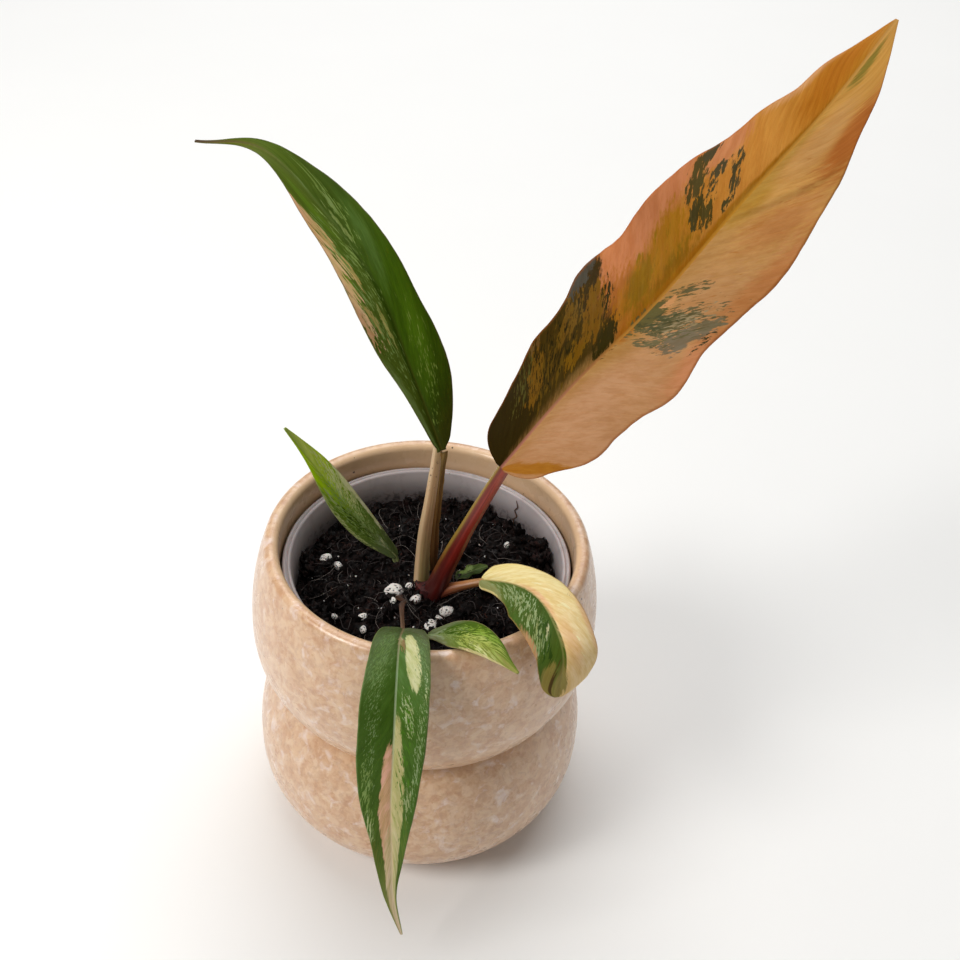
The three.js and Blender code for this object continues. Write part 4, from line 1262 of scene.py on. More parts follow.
# %% [markdown]
# Marbling. A variegated leaf is a chimera: cells that make green and cells that don't lie in
# sectors, and each sector's edge frays along the side veins. So the finish does what the leaf
# does. It knows where every point lies on its leaf, and it slides that place back along the side
# veins, so that every patch and every streak leans with them. Patches are soft ovals with a
# frayed edge. Streak noise is stretched along the veins, and the same streaks fray every patch.

# %% Shared leaf effects
def share_of_reach(group, start):
    """How far a point lies from a patch's middle: 1 is the patch's own reach."""
    away = vector_calc(group, "SUBTRACT", start["Leaf"], start["Middle"])
    return vector_calc(group, "LENGTH", vector_calc(group, "DIVIDE", away, start["Reach"]))


def patch_group():
    group, start, end = new_effect("frayed patch", [
        ("Leaf", VECTOR, None), ("Streak", FLOAT, 0.5), ("Middle", VECTOR, None),
        ("Reach", VECTOR, (0.1, 0.1, 1)), ("Fray", FLOAT, 1.0), ("Softness", FLOAT, 0.1)])
    uneven = calc(group, "MULTIPLY_ADD", start["Streak"], 2.5, -1.25)
    torn = calc(group, "MULTIPLY_ADD", uneven, start["Fray"], share_of_reach(group, start))
    outer = calc(group, "ADD", 1.0, start["Softness"])
    inner = calc(group, "SUBTRACT", 1.0, start["Softness"])
    fill(group, end, {"Mask": ease(group, torn, outer, inner)})
    return group


def streak_group():
    """Noise drawn out along the veins."""
    group, start, end = new_effect("vein streaks", [
        ("Veins", VECTOR, None), ("Across", FLOAT, 1.0), ("Along", FLOAT, 6.0), ("Seed", FLOAT, 0.0)],
        "Streak")
    along_leaf, from_midrib, _ = split(group, start["Veins"])
    stretched = join(group, calc(group, "DIVIDE", along_leaf, start["Across"]),
                     calc(group, "DIVIDE", from_midrib, start["Along"]), start["Seed"])
    fill(group, end, {"Streak": noise(group, stretched, 1.0, 3.0, 0.62)})
    return group


def fleck_group():
    """Separate flecks drawn out along the veins: fewer and smaller the further from their middle."""
    group, start, end = new_effect("vein flecks", [
        ("Leaf", VECTOR, None), ("Veins", VECTOR, None), ("Middle", VECTOR, None),
        ("Reach", VECTOR, (0.1, 0.1, 1)), ("Amount", FLOAT, 0.5), ("Across", FLOAT, 1.0),
        ("Along", FLOAT, 3.0), ("Seed", FLOAT, 0.0)])
    thinned = times(group, calc(group, "POWER", share_of_reach(group, start), 2.0), -0.2)
    dots = effect(group, STREAK, {key: start[key] for key in ("Veins", "Across", "Along", "Seed")})
    height = calc(group, "MULTIPLY_ADD", start["Amount"], 0.36, calc(group, "ADD", dots, thinned))
    fill(group, end, {"Mask": ease(group, height, 0.64, 0.71)})
    return group


def from_line(group, turns):
    """Distance from the nearest of the lines that lie one turn apart."""
    share = calc(group, "FRACT", calc(group, "ADD", turns, 100.5))
    return calc(group, "ABSOLUTE", calc(group, "SUBTRACT", share, 0.5))


def vein_group():
    """Thin side veins at an even gap, and finer ones between them."""
    group, start, end = new_effect("side veins", [
        ("Veins", VECTOR, None), ("Gap", FLOAT, 3.0), ("Streak", FLOAT, 0.5)])
    along_leaf = split(group, start["Veins"])[0]
    wavy = calc(group, "MULTIPLY_ADD", calc(group, "SUBTRACT", start["Streak"], 0.5), 0.8, along_leaf)
    turns = calc(group, "DIVIDE", wavy, start["Gap"])
    strong = ease(group, from_line(group, turns), 0.09, 0.02)
    weak = ease(group, from_line(group, times(group, turns, 3.0)), 0.16, 0.04, 0.0, 0.45)
    fill(group, end, {"Mask": calc(group, "MAXIMUM", strong, weak)})
    return group


PATCH = patch_group()
STREAK = streak_group()
FLECKS = fleck_group()
VEIN = vein_group()

# %% The leaf finish
LOOK_DEFAULTS = {
    "gloss": 0.07, "fray_across": 0.9, "fray_along": 2.8, "ground_fray": 0.06, "divide_lean": 0.0,
    "vein_colour": "#dce2bc", "vein_strength": 0.25, "grain_colour": "#eef0de", "cloud_colour": "#e6ebd4",
    "midrib_strength": 0.4, "margin_strength": 0.6,
}
BROAD_STREAKS = (2.6, 8.0, 9.0)
FINE_STREAKS = (0.8, 3.4, 1.7)
FRAY_SEED = 4.0


def vein_lengths(look, across, along):
    """Lengths across and along the veins, as the vein map holds them: it is skewed, veins lean."""
    return {"Across": across / look["slant"], "Along": along * look["slant"]}


def streaks(tree, look, veins, across, along, seed):
    return effect(tree, STREAK, {
        "Veins": veins, "Seed": look["seed"] + seed, **vein_lengths(look, across, along)})


def leaf_ground(tree, look, u, v, reach, fray):
    """The ground colours of both halves: each runs from base to tip, with a frayed change of colour."""
    slide = look.get("ground_sweep", look["sweep"])
    torn = calc(tree, "MULTIPLY_ADD", fray, 2.5 * look["ground_fray"], -1.25 * look["ground_fray"])
    level = calc(tree, "ADD", calc(tree, "MULTIPLY_ADD", reach, -slide, u), torn)
    divide = calc(tree, "MULTIPLY_ADD", u, look["divide_lean"], v)
    return tint(tree, ease(tree, divide, -0.015, 0.015),
                ramp(tree, level, look["left"]), ramp(tree, level, look["right"]))


def leaf_markings(tree, look, body, place, veins, fray):
    """Lays the patches and then the flecks of a look over the ground."""
    def bounds(middle, size):
        return {"Middle": (middle[0] - look["sweep"] * abs(middle[1]), middle[1], 0), "Reach": (*size, 1)}

    for colour, middle, size, torn, softness in look["patches"]:
        mask = effect(tree, PATCH, {
            "Leaf": place, "Streak": fray, "Fray": torn, "Softness": softness, **bounds(middle, size)})
        body = tint(tree, mask, body, colour)
    for colour, middle, size, amount, across, along in look["flecks"]:
        mask = effect(tree, FLECKS, {
            "Leaf": place, "Veins": veins, "Amount": amount, **bounds(middle, size),
            "Seed": look["seed"] + 3.3 * middle[0] + across, **vein_lengths(look, across, along)})
        body = tint(tree, mask, body, colour)
    return body


def leaf_finish(name, look):
    """Builds a leaf's finish from its look: ground colours, patches, flecks, midrib and margin."""
    dull = look["roughness"]
    material, tree, shader = new_finish(
        name, roughness=dull, specular_ior_level=look["gloss"], subsurface_weight=0.04,
        subsurface_scale=0.001)
    veins = add(tree, "ShaderNodeUVMap", uv_map="veins").outputs[0]
    u, v, _ = split(tree, add(tree, "ShaderNodeUVMap", uv_map="leaf"))
    reach = calc(tree, "ABSOLUTE", v)
    place = join(tree, calc(tree, "MULTIPLY_ADD", reach, -look["sweep"], u), v)
    broad = streaks(tree, look, veins, *BROAD_STREAKS)
    strand = streaks(tree, look, veins, *FINE_STREAKS)
    fray = streaks(tree, look, veins, look["fray_across"], look["fray_along"], FRAY_SEED)
    body = leaf_ground(tree, look, u, v, reach, fray)
    body = leaf_markings(tree, look, body, place, veins, fray)
    body = tint(tree, ease(tree, broad, 0.4, 0.62), body, look["cloud_colour"], mode="MULTIPLY")
    body = tint(tree, ease(tree, strand, 0.4, 0.64), body, look["grain_colour"], mode="MULTIPLY")
    lines = effect(tree, VEIN, {"Veins": veins, "Gap": look["vein_gap"], "Streak": fray})
    body = tint(tree, lines, body, look["vein_colour"], look["vein_strength"], "SOFT_LIGHT")
    from_midrib = calc(tree, "ABSOLUTE", split(tree, veins)[1])
    rib = ease(tree, from_midrib, look["midrib_width"], look["midrib_width"] * 0.45)
    body = tint(tree, rib, body, ramp(tree, u, look["midrib"]), look["midrib_strength"])
    edge = ease(tree, calc(tree, "MULTIPLY_ADD", fray, 0.06, reach), 0.985, 1.02)
    body = tint(tree, edge, body, look["margin"], look["margin_strength"])
    body = tint(tree, kept_value(tree, "underside"), body, look["underside"], 0.35)
    relief = calc(tree, "MULTIPLY_ADD", broad, 0.6, times(tree, strand, 0.4))
    relief = calc(tree, "MULTIPLY_ADD", lines, -0.4, relief)
    fill(tree, shader, {
        "Base Color": body,
        "Roughness": ease(tree, fray, 0.3, 0.7, dull - 0.07, dull + 0.09),
        "Normal": bump(tree, relief, 0.00012, 0.35)})
    return material


def make_leaf(name, node, slot, blade, look):
    widest = max(max(pair) for pair in blade["halves"])
    slant = widest / math.hypot(widest, look["sweep"] * spine_length(blade))
    traits = {"sweep": look["sweep"], "vein_gap": look["vein_gap"], "seed": int(look["seed"])}
    mesh = blade_mesh(name, {**BLADE_DEFAULTS, **blade, **traits})
    mesh.materials.append(leaf_finish(name + "_skin", {**LOOK_DEFAULTS, **look, "slant": slant}))
    hand_over(link_piece(name, mesh), slot, node)


# %% [markdown]
# The caramel leaf is the show piece. Its left half starts near black-green, breaks into orange
# and gold streaks, and turns salmon and orange after a third of its length. One ring of dark
# green streaks lies on it further up. Its right half is dusty peach with a golden edge at the
# base, one grey-green patch by the midrib, and a yellow-olive glow beside the midrib above that.
# Both halves end golden. A crease crosses the right half at two thirds of the length.

# %% The caramel leaf
CARAMEL_BLADE = {
    "spine": [
        (21, -9, 152), (39, -2, 178), (59, 4, 203), (78, 15, 228), (98, 29, 250), (116, 47, 270)],
    "facing": [(-0.45, -0.72, 0.53), (-0.4, -0.6, 0.69)],
    "halves": [
        (10, 8.5), (11.6, 14.1), (14.2, 21), (17, 21.4), (17.7, 22.8), (22.3, 24.8), (22.2, 21.5),
        (20.8, 21.5), (20.5, 23.6), (19.6, 22.8), (16.4, 20), (14.5, 16.2), (10.4, 12.2), (8.8, 9.2),
        (4.9, 5.1), (0.5, 0.5)],
    "fold": (14, 8), "cup": (-0.06, -0.1), "base": 0.05, "neck": 2.1,
    "waves": [(1.6, 3.5, 0.4, 1.9), (0.7, 7.5, 2, 0.8)],
    "creases": [((0.58, 0.05), (0.725, 0.85), 0.55, 0.7)], "pucker": 0.3, "keel": 1.3, "lanes": 64,
    "rows": 260,
}
CARAMEL_LOOK = {
    "seed": 2.0, "sweep": 0.14, "ground_sweep": 0.065, "vein_gap": 4.2, "ground_fray": 0.055,
    "roughness": 0.46, "gloss": 0.04,
    "left": [
        (0, "#2c2102"), (0.09, "#312503"), (0.14, "#403007"), (0.24, "#45340a"), (0.315, "#46340a"),
        (0.327, "#9c6414"), (0.4, "#a46a18"), (0.5, "#a86e1e"), (0.6, "#bc7e34"), (0.7, "#c08438"),
        (0.8, "#b87a26"), (0.9, "#b67a20"), (1, "#bc8844")],
    "right": [
        (0, "#b08056"), (0.1, "#b3855f"), (0.3, "#b28459"), (0.45, "#b38555"), (0.6, "#b6894a"),
        (0.75, "#be8d4a"), (0.88, "#b8883e"), (1, "#b88a48")],
    "patches": [
        ("#a8662c", (0.4, -0.66), (0.045, 0.3), 0.8, 0.5),
        ("#c07a4e", (0.47, -0.96), (0.1, 0.36), 0.6, 0.3),
        ("#cf9a68", (0.84, -1.0), (0.08, 0.14), 0.6, 0.6),
        ("#a67c46", (0.3, 0.07), (0.26, 0.15), 0.5, 0.9),
        ("#ba774e", (0.55, -0.95), (0.09, 0.4), 0.6, 0.5),
        ("#a3641c", (0.36, -0.05), (0.05, 0.14), 0.6, 0.5),
        ("#84600a", (0.405, -0.3), (0.034, 0.2), 1.0, 0.5),
        ("#84600a", (0.48, -0.2), (0.034, 0.11), 1.0, 0.5),
        ("#8a5e08", (0.44, -0.1), (0.07, 0.08), 1.0, 0.5),
        ("#9e6a14", (0.5, -0.5), (0.04, 0.2), 1.2, 0.5),
        ("#bd7c50", (0.67, -0.85), (0.045, 0.22), 0.8, 0.5),
        ("#ad6a18", (0.87, -0.5), (0.08, 0.42), 0.5, 0.6),
        ("#9c6410", (0.6, -0.04), (0.22, 0.05), 0.5, 0.5),
        ("#332a06", (0.3, -0.14), (0.03, 0.14), 1.0, 0.2),
        ("#3a2b08", (0.345, -0.82), (0.032, 0.26), 0.5, 0.15),
        ("#443c1a", (0.552, -0.38), (0.015, 0.13), 1.0, 0.1),
        ("#a36a20", (0.03, 0.62), (0.03, 0.5), 0.4, 0.3), ("#a36a24", (0.0, 0.3), (0.03, 0.2), 0.4, 0.3),
        ("#b87c54", (0.385, 0.97), (0.06, 0.17), 0.5, 0.6),
        ("#a87e32", (0.62, 0.1), (0.05, 0.14), 0.5, 0.6), ("#a67f38", (0.7, 0.06), (0.1, 0.08), 0.5, 0.6),
        ("#a5622a", (0.79, 0.86), (0.07, 0.3), 0.6, 0.5),
        ("#b88a52", (0.76, 0.36), (0.07, 0.22), 0.5, 0.7), ("#b88a64", (0.2, 0.4), (0.1, 0.3), 0.5, 0.8),
        ("#ae7844", (0.62, 0.62), (0.05, 0.3), 0.6, 0.6),
        ("#b07644", (0.52, 0.92), (0.1, 0.16), 0.6, 0.5),
        ("#5e5732", (0.382, 0.09), (0.036, 0.12), 1.0, 0.1),
        ("#655c3c", (0.398, 0.38), (0.022, 0.2), 1.2, 0.12),
        ("#736752", (0.398, 0.66), (0.027, 0.2), 1.3, 0.12),
        ("#6f654c", (0.43, 0.78), (0.012, 0.12), 1.2, 0.15),
        ("#7d6c26", (0.905, 0.2), (0.045, 0.17), 0.8, 0.5)],
    "flecks": [
        ("#5c440c", (0.21, -0.5), (0.13, 0.5), 0.46, 1.44, 4.8),
        ("#704e0e", (0.165, -0.6), (0.03, 0.3), 0.85, 1.7, 4.2),
        ("#74520a", (0.245, -0.34), (0.03, 0.17), 0.85, 1.6, 3.6),
        ("#6c4e14", (0.285, -0.78), (0.04, 0.24), 0.75, 1.5, 4.2),
        ("#74500e", (0.315, -0.52), (0.035, 0.34), 0.8, 1.3, 3.8),
        ("#504a1c", (0.14, -0.75), (0.05, 0.35), 0.46, 0.7, 3.0),
        ("#664c24", (0.2, -0.93), (0.03, 0.12), 0.6, 1.2, 3.0),
        ("#2a2204", (0.2, -0.6), (0.16, 0.6), 0.36, 0.51, 2.3),
        # Painted sheen: these grey flecks at the left margin, a third of the way up, stand in for a gloss.
        ("#4a463c", (0.345, -0.97), (0.05, 0.16), 0.85, 1.1, 2.8),
        ("#332b0a", (0.35, -0.5), (0.02, 0.22), 0.6, 0.59, 2.3),
        ("#8a640c", (0.44, -0.42), (0.07, 0.3), 0.5, 1.1, 5.2),
        ("#9c6a12", (0.5, -0.4), (0.1, 0.4), 0.45, 1.0, 5.0),
        ("#504420", (0.598, -0.72), (0.024, 0.34), 0.86, 0.85, 3.0),
        ("#4c442c", (0.646, -0.94), (0.016, 0.14), 0.9, 1.02, 2.3),
        ("#4c4018", (0.562, -0.28), (0.022, 0.16), 0.9, 0.85, 2.2),
        ("#463e1e", (0.592, -0.15), (0.014, 0.07), 0.75, 0.68, 1.6),
        ("#4a4228", (0.642, -0.4), (0.015, 0.27), 0.82, 0.68, 2.5),
        ("#4c442c", (0.63, -0.6), (0.022, 0.1), 0.85, 0.85, 1.8),
        ("#4a4226", (0.6, -0.47), (0.012, 0.08), 0.8, 0.68, 1.6),
        ("#5e573a", (0.4, 0.45), (0.062, 0.55), 0.5, 0.64, 3.4),
        ("#4a4a2e", (0.385, 0.26), (0.034, 0.3), 0.55, 0.7, 3.0),
        ("#615837", (0.45, 0.25), (0.025, 0.25), 0.6, 0.59, 2.8),
        ("#696042", (0.352, 0.32), (0.01, 0.2), 0.7, 0.59, 3.4),
        ("#c08a58", (0.417, 0.16), (0.014, 0.07), 0.85, 0.68, 1.8),
        ("#938464", (0.41, 0.5), (0.045, 0.4), 0.36, 0.51, 2.8),
        ("#3f3a24", (0.41, 0.9), (0.03, 0.08), 0.5, 0.59, 1.4),
        ("#aa743c", (0.7, 0.6), (0.3, 0.5), 0.2, 1.6, 7.0)],
    "vein_colour": "#e2d6bc", "vein_strength": 0.1, "grain_colour": "#f9f6f0", "cloud_colour": "#f5efe6",
    "midrib": [
        (0, "#a2685a"), (0.12, "#a87058"), (0.24, "#96643c"), (0.33, "#a8742c"), (0.6, "#a8741e"),
        (1, "#b98b4a")],
    "midrib_width": 0.6, "midrib_strength": 0.85, "margin": "#9a5222", "margin_strength": 0.35,
    "underside": "#b07a52",
}
make_leaf("caramel_leaf_blade", "caramel_blade", "caramel_leaf", CARAMEL_BLADE, CARAMEL_LOOK)

# %% [markdown]
# The arching leaf is the older green one. Its right half is deep green with a cool gloss, its
# left half mid green with pale streaks, and cream and pink dashes run along its left margin. It
# ends in a long thin brown tip that sheds rain. Its side veins run nearly along the leaf.

# %% The arching green leaf
ARCHING_BLADE = {
    "spine": [
        (3, -3, 152), (-7, 4, 174), (-18, 14, 195), (-34, 25, 211), (-53.5, 34.6, 225.2),
        (-75, 41, 223.6)],
    "facing": [(0.3, -0.8, 0.3), (0.15, -0.55, 0.8)],
    "halves": [
        (1.6, 2.4), (3.4, 7.8), (5.5, 11.2), (8.6, 11.3), (10, 9.6), (9.2, 9.6), (7.6, 9.5), (6.3, 8.6),
        (4, 5.2), (2.2, 2.3), (0.9, 0.7), (0.4, 0.4)],
    "fold": (20, 12), "cup": (-0.12, -0.1), "base": 0.03, "neck": 1.6, "waves": [(0.7, 2.5, 0.5, 1.2)],
    "pucker": 0.14, "keel": 0.9,
}
ARCHING_LOOK = {
    "seed": 5.0, "sweep": 0.3, "ground_sweep": 0.1, "vein_gap": 5.2, "roughness": 0.38,
    "left": [
        (0, "#3a4408"), (0.1, "#465412"), (0.3, "#4c5c1c"), (0.5, "#4e621c"), (0.7, "#5a6a1e"),
        (0.82, "#5f6616"), (0.88, "#66602a"), (0.93, "#5c4a3c"), (1, "#4c3830")],
    "right": [
        (0, "#343602"), (0.08, "#314002"), (0.25, "#374f02"), (0.4, "#3c5506"), (0.6, "#45591a"),
        (0.75, "#566a1c"), (0.85, "#626a18"), (0.92, "#5c4a3a"), (1, "#4c3830")],
    "patches": [
        ("#344a04", (0.3, -0.04), (0.24, 0.1), 0.4, 0.5),
        ("#60703c", (0.12, -0.8), (0.1, 0.25), 0.7, 0.5),
        ("#c8987a", (0.36, -0.93), (0.055, 0.13), 1.6, 0.14),
        ("#c99c7c", (0.5, -0.97), (0.08, 0.13), 1.6, 0.14),
        ("#c89a76", (0.62, -0.94), (0.06, 0.15), 1.6, 0.16),
        ("#b89c68", (0.53, -0.63), (0.07, 0.08), 1.4, 0.14),
        ("#b39462", (0.6, -0.74), (0.05, 0.09), 1.4, 0.16),
        ("#b59a64", (0.46, -0.52), (0.04, 0.06), 1.4, 0.16),
        ("#a39a5c", (0.325, -0.3), (0.035, 0.06), 1.4, 0.16),
        ("#a8945e", (0.345, -0.6), (0.025, 0.14), 1.4, 0.16),
        ("#5a741c", (0.64, -0.45), (0.05, 0.16), 1.0, 0.5),
        ("#5e7a1e", (0.43, -0.76), (0.04, 0.1), 1.0, 0.2),
        ("#7c8a50", (0.56, 0.12), (0.05, 0.04), 1.6, 0.2),
        ("#74864c", (0.62, 0.32), (0.025, 0.06), 1.8, 0.2),
        ("#748450", (0.69, 0.03), (0.02, 0.04), 1.6, 0.2),
        ("#4c6628", (0.52, 0.5), (0.06, 0.3), 0.6, 0.6), ("#46620a", (0.3, 0.5), (0.1, 0.3), 0.5, 0.7)],
    "flecks": [
        ("#72864a", (0.4, -0.5), (0.35, 0.6), 0.4, 0.8, 2.6),
        ("#7f9450", (0.5, -0.15), (0.2, 0.3), 0.4, 0.7, 1.8),
        ("#ccaa80", (0.48, -0.84), (0.18, 0.22), 0.66, 0.7, 3.0),
        ("#c9a684", (0.34, -0.8), (0.04, 0.25), 0.5, 0.7, 2.0),
        ("#6c7c38", (0.2, 0.4), (0.2, 0.5), 0.3, 0.7, 1.8),
        ("#758a48", (0.62, 0.4), (0.12, 0.5), 0.42, 0.7, 1.6)],
    "vein_strength": 0.3, "cloud_colour": "#e8ebd6",
    "midrib": [
        (0, "#4c4212"), (0.4, "#33480a"), (0.7, "#66783a"), (0.88, "#6a5a34"), (1, "#4a3a2a")],
    "midrib_width": 0.5, "midrib_strength": 0.55, "margin": "#66603a", "underside": "#6c7f48",
}
make_leaf("arching_leaf_blade", "arching_blade", "green_leaf", ARCHING_BLADE, ARCHING_LOOK)

# %% [markdown]
# The front leaf hangs over the lip. Both halves are dark green with fine pale squiggles, a cream
# patch lies beside the midrib near the base, and from the middle down a cream sector and a pink
# one share the midrib all the way to the tip, between green margins.

# %% The front hanging leaf
FRONT_BLADE = {
    "spine": [
        (-4, -38, 111.2), (-4, -50, 118.3), (-3.4, -63, 114.5), (-3, -71, 101), (-3, -76, 79),
        (-2.2, -79, 58), (-1.4, -81, 37), (1.7, -82, 16)],
    "facing": [
        (0, -0.2, 1), (0, -0.5, 0.9), (0, -1, 0.4), (0, -1, 0.1), (0, -1, 0.06)],
    "halves": [
        (5.4, 5.2), (7.5, 6.5), (9, 7.9), (9.6, 9), (9.7, 10), (9.4, 10.3), (8.6, 10.4), (7.2, 8.9),
        (5.1, 6.5), (3.2, 5), (1.5, 3.4), (0.6, 1.8), (0.4, 0.4)],
    "fold": (12, 10), "cup": (-0.08, -0.1), "base": 0.05, "neck": 1, "waves": [(0.7, 3, 1, 1.4)],
    "pucker": 0.12, "keel": 0.7,
}
FRONT_LOOK = {
    "seed": 8.0, "sweep": 0.14, "vein_gap": 3.4, "ground_fray": 0.04, "roughness": 0.44,
    "fray_across": 1.0, "fray_along": 1.6,
    "left": [
        (0, "#586044"), (0.12, "#587040"), (0.22, "#507032"), (0.35, "#4b6b25"), (0.5, "#4a6a26"),
        (0.66, "#557026"), (0.78, "#76803a"), (0.86, "#a8a06e"), (0.93, "#cbb894"), (1, "#d8c4ac")],
    "right": [
        (0, "#4e5c38"), (0.12, "#53683c"), (0.2, "#445f24"), (0.35, "#3f5c16"), (0.5, "#44601a"),
        (0.64, "#52661c"), (0.76, "#6a7230"), (0.85, "#a09a66"), (0.94, "#d0baa2"), (1, "#dccabc")],
    "patches": [
        ("#c6c698", (0.215, -0.48), (0.075, 0.25), 0.2, 0.08),
        ("#c8c699", (0.165, -0.42), (0.05, 0.22), 0.3, 0.12),
        ("#8f7458", (0.155, -0.12), (0.02, 0.1), 1.4, 0.2),
        ("#9c9470", (0.13, -0.02), (0.02, 0.08), 1.4, 0.2),
        ("#beb582", (0.5, -0.13), (0.13, 0.16), 0.25, 0.1),
        ("#c2b985", (0.62, -0.24), (0.17, 0.3), 0.3, 0.1),
        ("#c8bd90", (0.8, -0.22), (0.18, 0.42), 0.4, 0.15),
        ("#e0ac92", (0.53, 0.15), (0.09, 0.16), 0.3, 0.1),
        ("#e2b096", (0.65, 0.22), (0.13, 0.25), 0.35, 0.1),
        ("#d6bc98", (0.77, 0.17), (0.12, 0.3), 0.5, 0.2),
        ("#d8c0a4", (0.88, 0.18), (0.1, 0.44), 0.5, 0.3)],
    "flecks": [
        ("#a9b688", (0.36, -0.4), (0.06, 0.3), 0.56, 0.6, 1.5),
        ("#647c48", (0.2, 0.5), (0.16, 0.6), 0.5, 0.4, 1.4),
        ("#6c8454", (0.2, -0.75), (0.14, 0.3), 0.45, 0.4, 1.4),
        ("#728858", (0.38, 0.6), (0.3, 0.35), 0.3, 0.4, 1.2),
        ("#94a878", (0.45, -0.8), (0.2, 0.2), 0.46, 0.5, 1.0),
        ("#a2ac80", (0.56, -0.65), (0.05, 0.2), 0.55, 0.6, 1.2),
        ("#7a9050", (0.55, 0.75), (0.14, 0.3), 0.46, 0.5, 1.2),
        ("#aeb886", (0.65, 0.85), (0.06, 0.2), 0.5, 0.6, 1.2),
        ("#62782c", (0.7, -0.85), (0.1, 0.26), 0.66, 0.8, 2.4),
        ("#5c6820", (0.74, 0.85), (0.07, 0.26), 0.7, 0.8, 2.4),
        ("#4f7a1e", (0.5, -0.4), (0.3, 0.5), 0.34, 0.8, 1.6),
        ("#c0c8a4", (0.3, -0.9), (0.12, 0.1), 0.4, 0.5, 0.8)],
    "vein_colour": "#dce2c4",
    "midrib": [
        (0, "#7d6a4c"), (0.14, "#8f7f60"), (0.25, "#8a9c78"), (0.4, "#a9b48c"), (0.6, "#c8bd90"),
        (1, "#d4bea0")],
    "midrib_width": 0.4, "midrib_strength": 0.7, "margin": "#7a8a54", "underside": "#7d8d68",
}
make_leaf("front_leaf_blade", "front_blade", "green_leaf", FRONT_BLADE, FRONT_LOOK)

# %% [markdown]
# The curled leaf is split down its midrib: the outer half has no green at all and is cream with
# a peach blush, the inner half is green with pale brushed streaks. It rolls over the lip on the
# right and ends broad, in a dry khaki corner.

# %% The curled cream leaf
CURLED_BLADE = {
    "spine": [
        (18, -10, 107), (27, -17, 113), (34, -26, 118), (39, -37, 120), (43, -48, 116), (43, -52, 102.5)],
    "facing": [(0, -0.4, 1), (0.1, -0.45, 0.9), (0.35, -0.5, 0.8)],
    "halves": [
        (4.5, 3.6), (6.5, 4.7), (8, 6.4), (8.8, 8.1), (9.6, 9.8), (10.4, 10.8), (11.1, 10.4), (11.7, 9.2),
        (12.2, 7.8), (12, 6.6), (9.2, 3.8)],
    "fold": (12, 4), "cup": (-0.15, -0.35), "base": 0.05, "neck": 1.2, "waves": [(0.5, 2, 0, 1.5)],
    "pucker": 0.16, "keel": 0.6, "round_end": 0.05,
}
CURLED_LOOK = {
    "seed": 11.0, "sweep": 0.25, "vein_gap": 3.0, "ground_fray": 0.04, "roughness": 0.48,
    "divide_lean": 0.1,
    "left": [
        (0, "#f0e0a0"), (0.15, "#f3e2a6"), (0.35, "#f1dca6"), (0.5, "#efd8a6"), (0.65, "#efd5a4"),
        (0.8, "#ecce9c"), (1, "#e2c288")],
    "right": [
        (0, "#8a9060"), (0.03, "#66783e"), (0.1, "#50682c"), (0.3, "#466024"), (0.5, "#425c20"),
        (0.65, "#465e20"), (0.79, "#4e6420"), (0.86, "#807a3c"), (0.92, "#968a50"), (1, "#8c7a40")],
    "patches": [
        ("#e6bc92", (0.45, -0.08), (0.16, 0.08), 0.6, 0.6),
        ("#e6c094", (0.66, -0.95), (0.14, 0.1), 0.6, 0.6),
        ("#f3e4ae", (0.2, -0.5), (0.12, 0.4), 0.4, 0.7), ("#e6c090", (0.75, -0.3), (0.1, 0.2), 0.5, 0.7),
        ("#d3c68e", (0.1, 0.95), (0.1, 0.1), 0.4, 0.3),
        ("#b5b48c", (0.675, 0.3), (0.014, 0.14), 0.8, 0.2),
        ("#b28c6a", (0.72, 0.96), (0.09, 0.12), 0.8, 0.3),
        ("#94884c", (0.95, 0.15), (0.06, 0.4), 0.6, 0.2),
        ("#8a7e40", (0.96, 0.75), (0.09, 0.4), 0.5, 0.2),
        ("#5a4018", (0.9, 0.45), (0.007, 0.36), 1.0, 0.3),
        ("#4c3a14", (0.985, 0.7), (0.018, 0.4), 1.0, 0.3)],
    "flecks": [
        ("#8ea074", (0.3, 0.5), (0.3, 0.5), 0.5, 0.8, 2.6),
        ("#93a57a", (0.5, 0.45), (0.3, 0.5), 0.46, 0.6, 2.6),
        ("#8c9e70", (0.68, 0.6), (0.14, 0.4), 0.5, 0.5, 2.4),
        ("#304a14", (0.7, 0.4), (0.16, 0.4), 0.5, 0.8, 2.6),
        ("#f4e8bc", (0.5, -0.5), (0.4, 0.5), 0.2, 1.6, 4.0),
        ("#7c5c3a", (0.5, -0.86), (0.05, 0.1), 0.2, 0.3, 0.35)],
    "vein_colour": "#e8e2c4", "vein_strength": 0.2, "grain_colour": "#f8f3e6", "cloud_colour": "#f6f0e0",
    "midrib": [(0, "#b39a60"), (0.3, "#c7b27a"), (0.6, "#9a9a5c"), (1, "#8c7c48")], "midrib_width": 0.4,
    "margin": "#c8925c", "underside": "#c3b488", "margin_strength": 0.35,
}
make_leaf("curled_leaf_blade", "curled_blade", "cream_leaf", CURLED_BLADE, CURLED_LOOK)

# %% [markdown]
# Two small leaves stand on either side. The left one turns yellow-green towards its tip and has
# a cream right margin. The one at the right front is the youngest: olive green above and
# yellower below, with pale streaks and a cream lower margin.

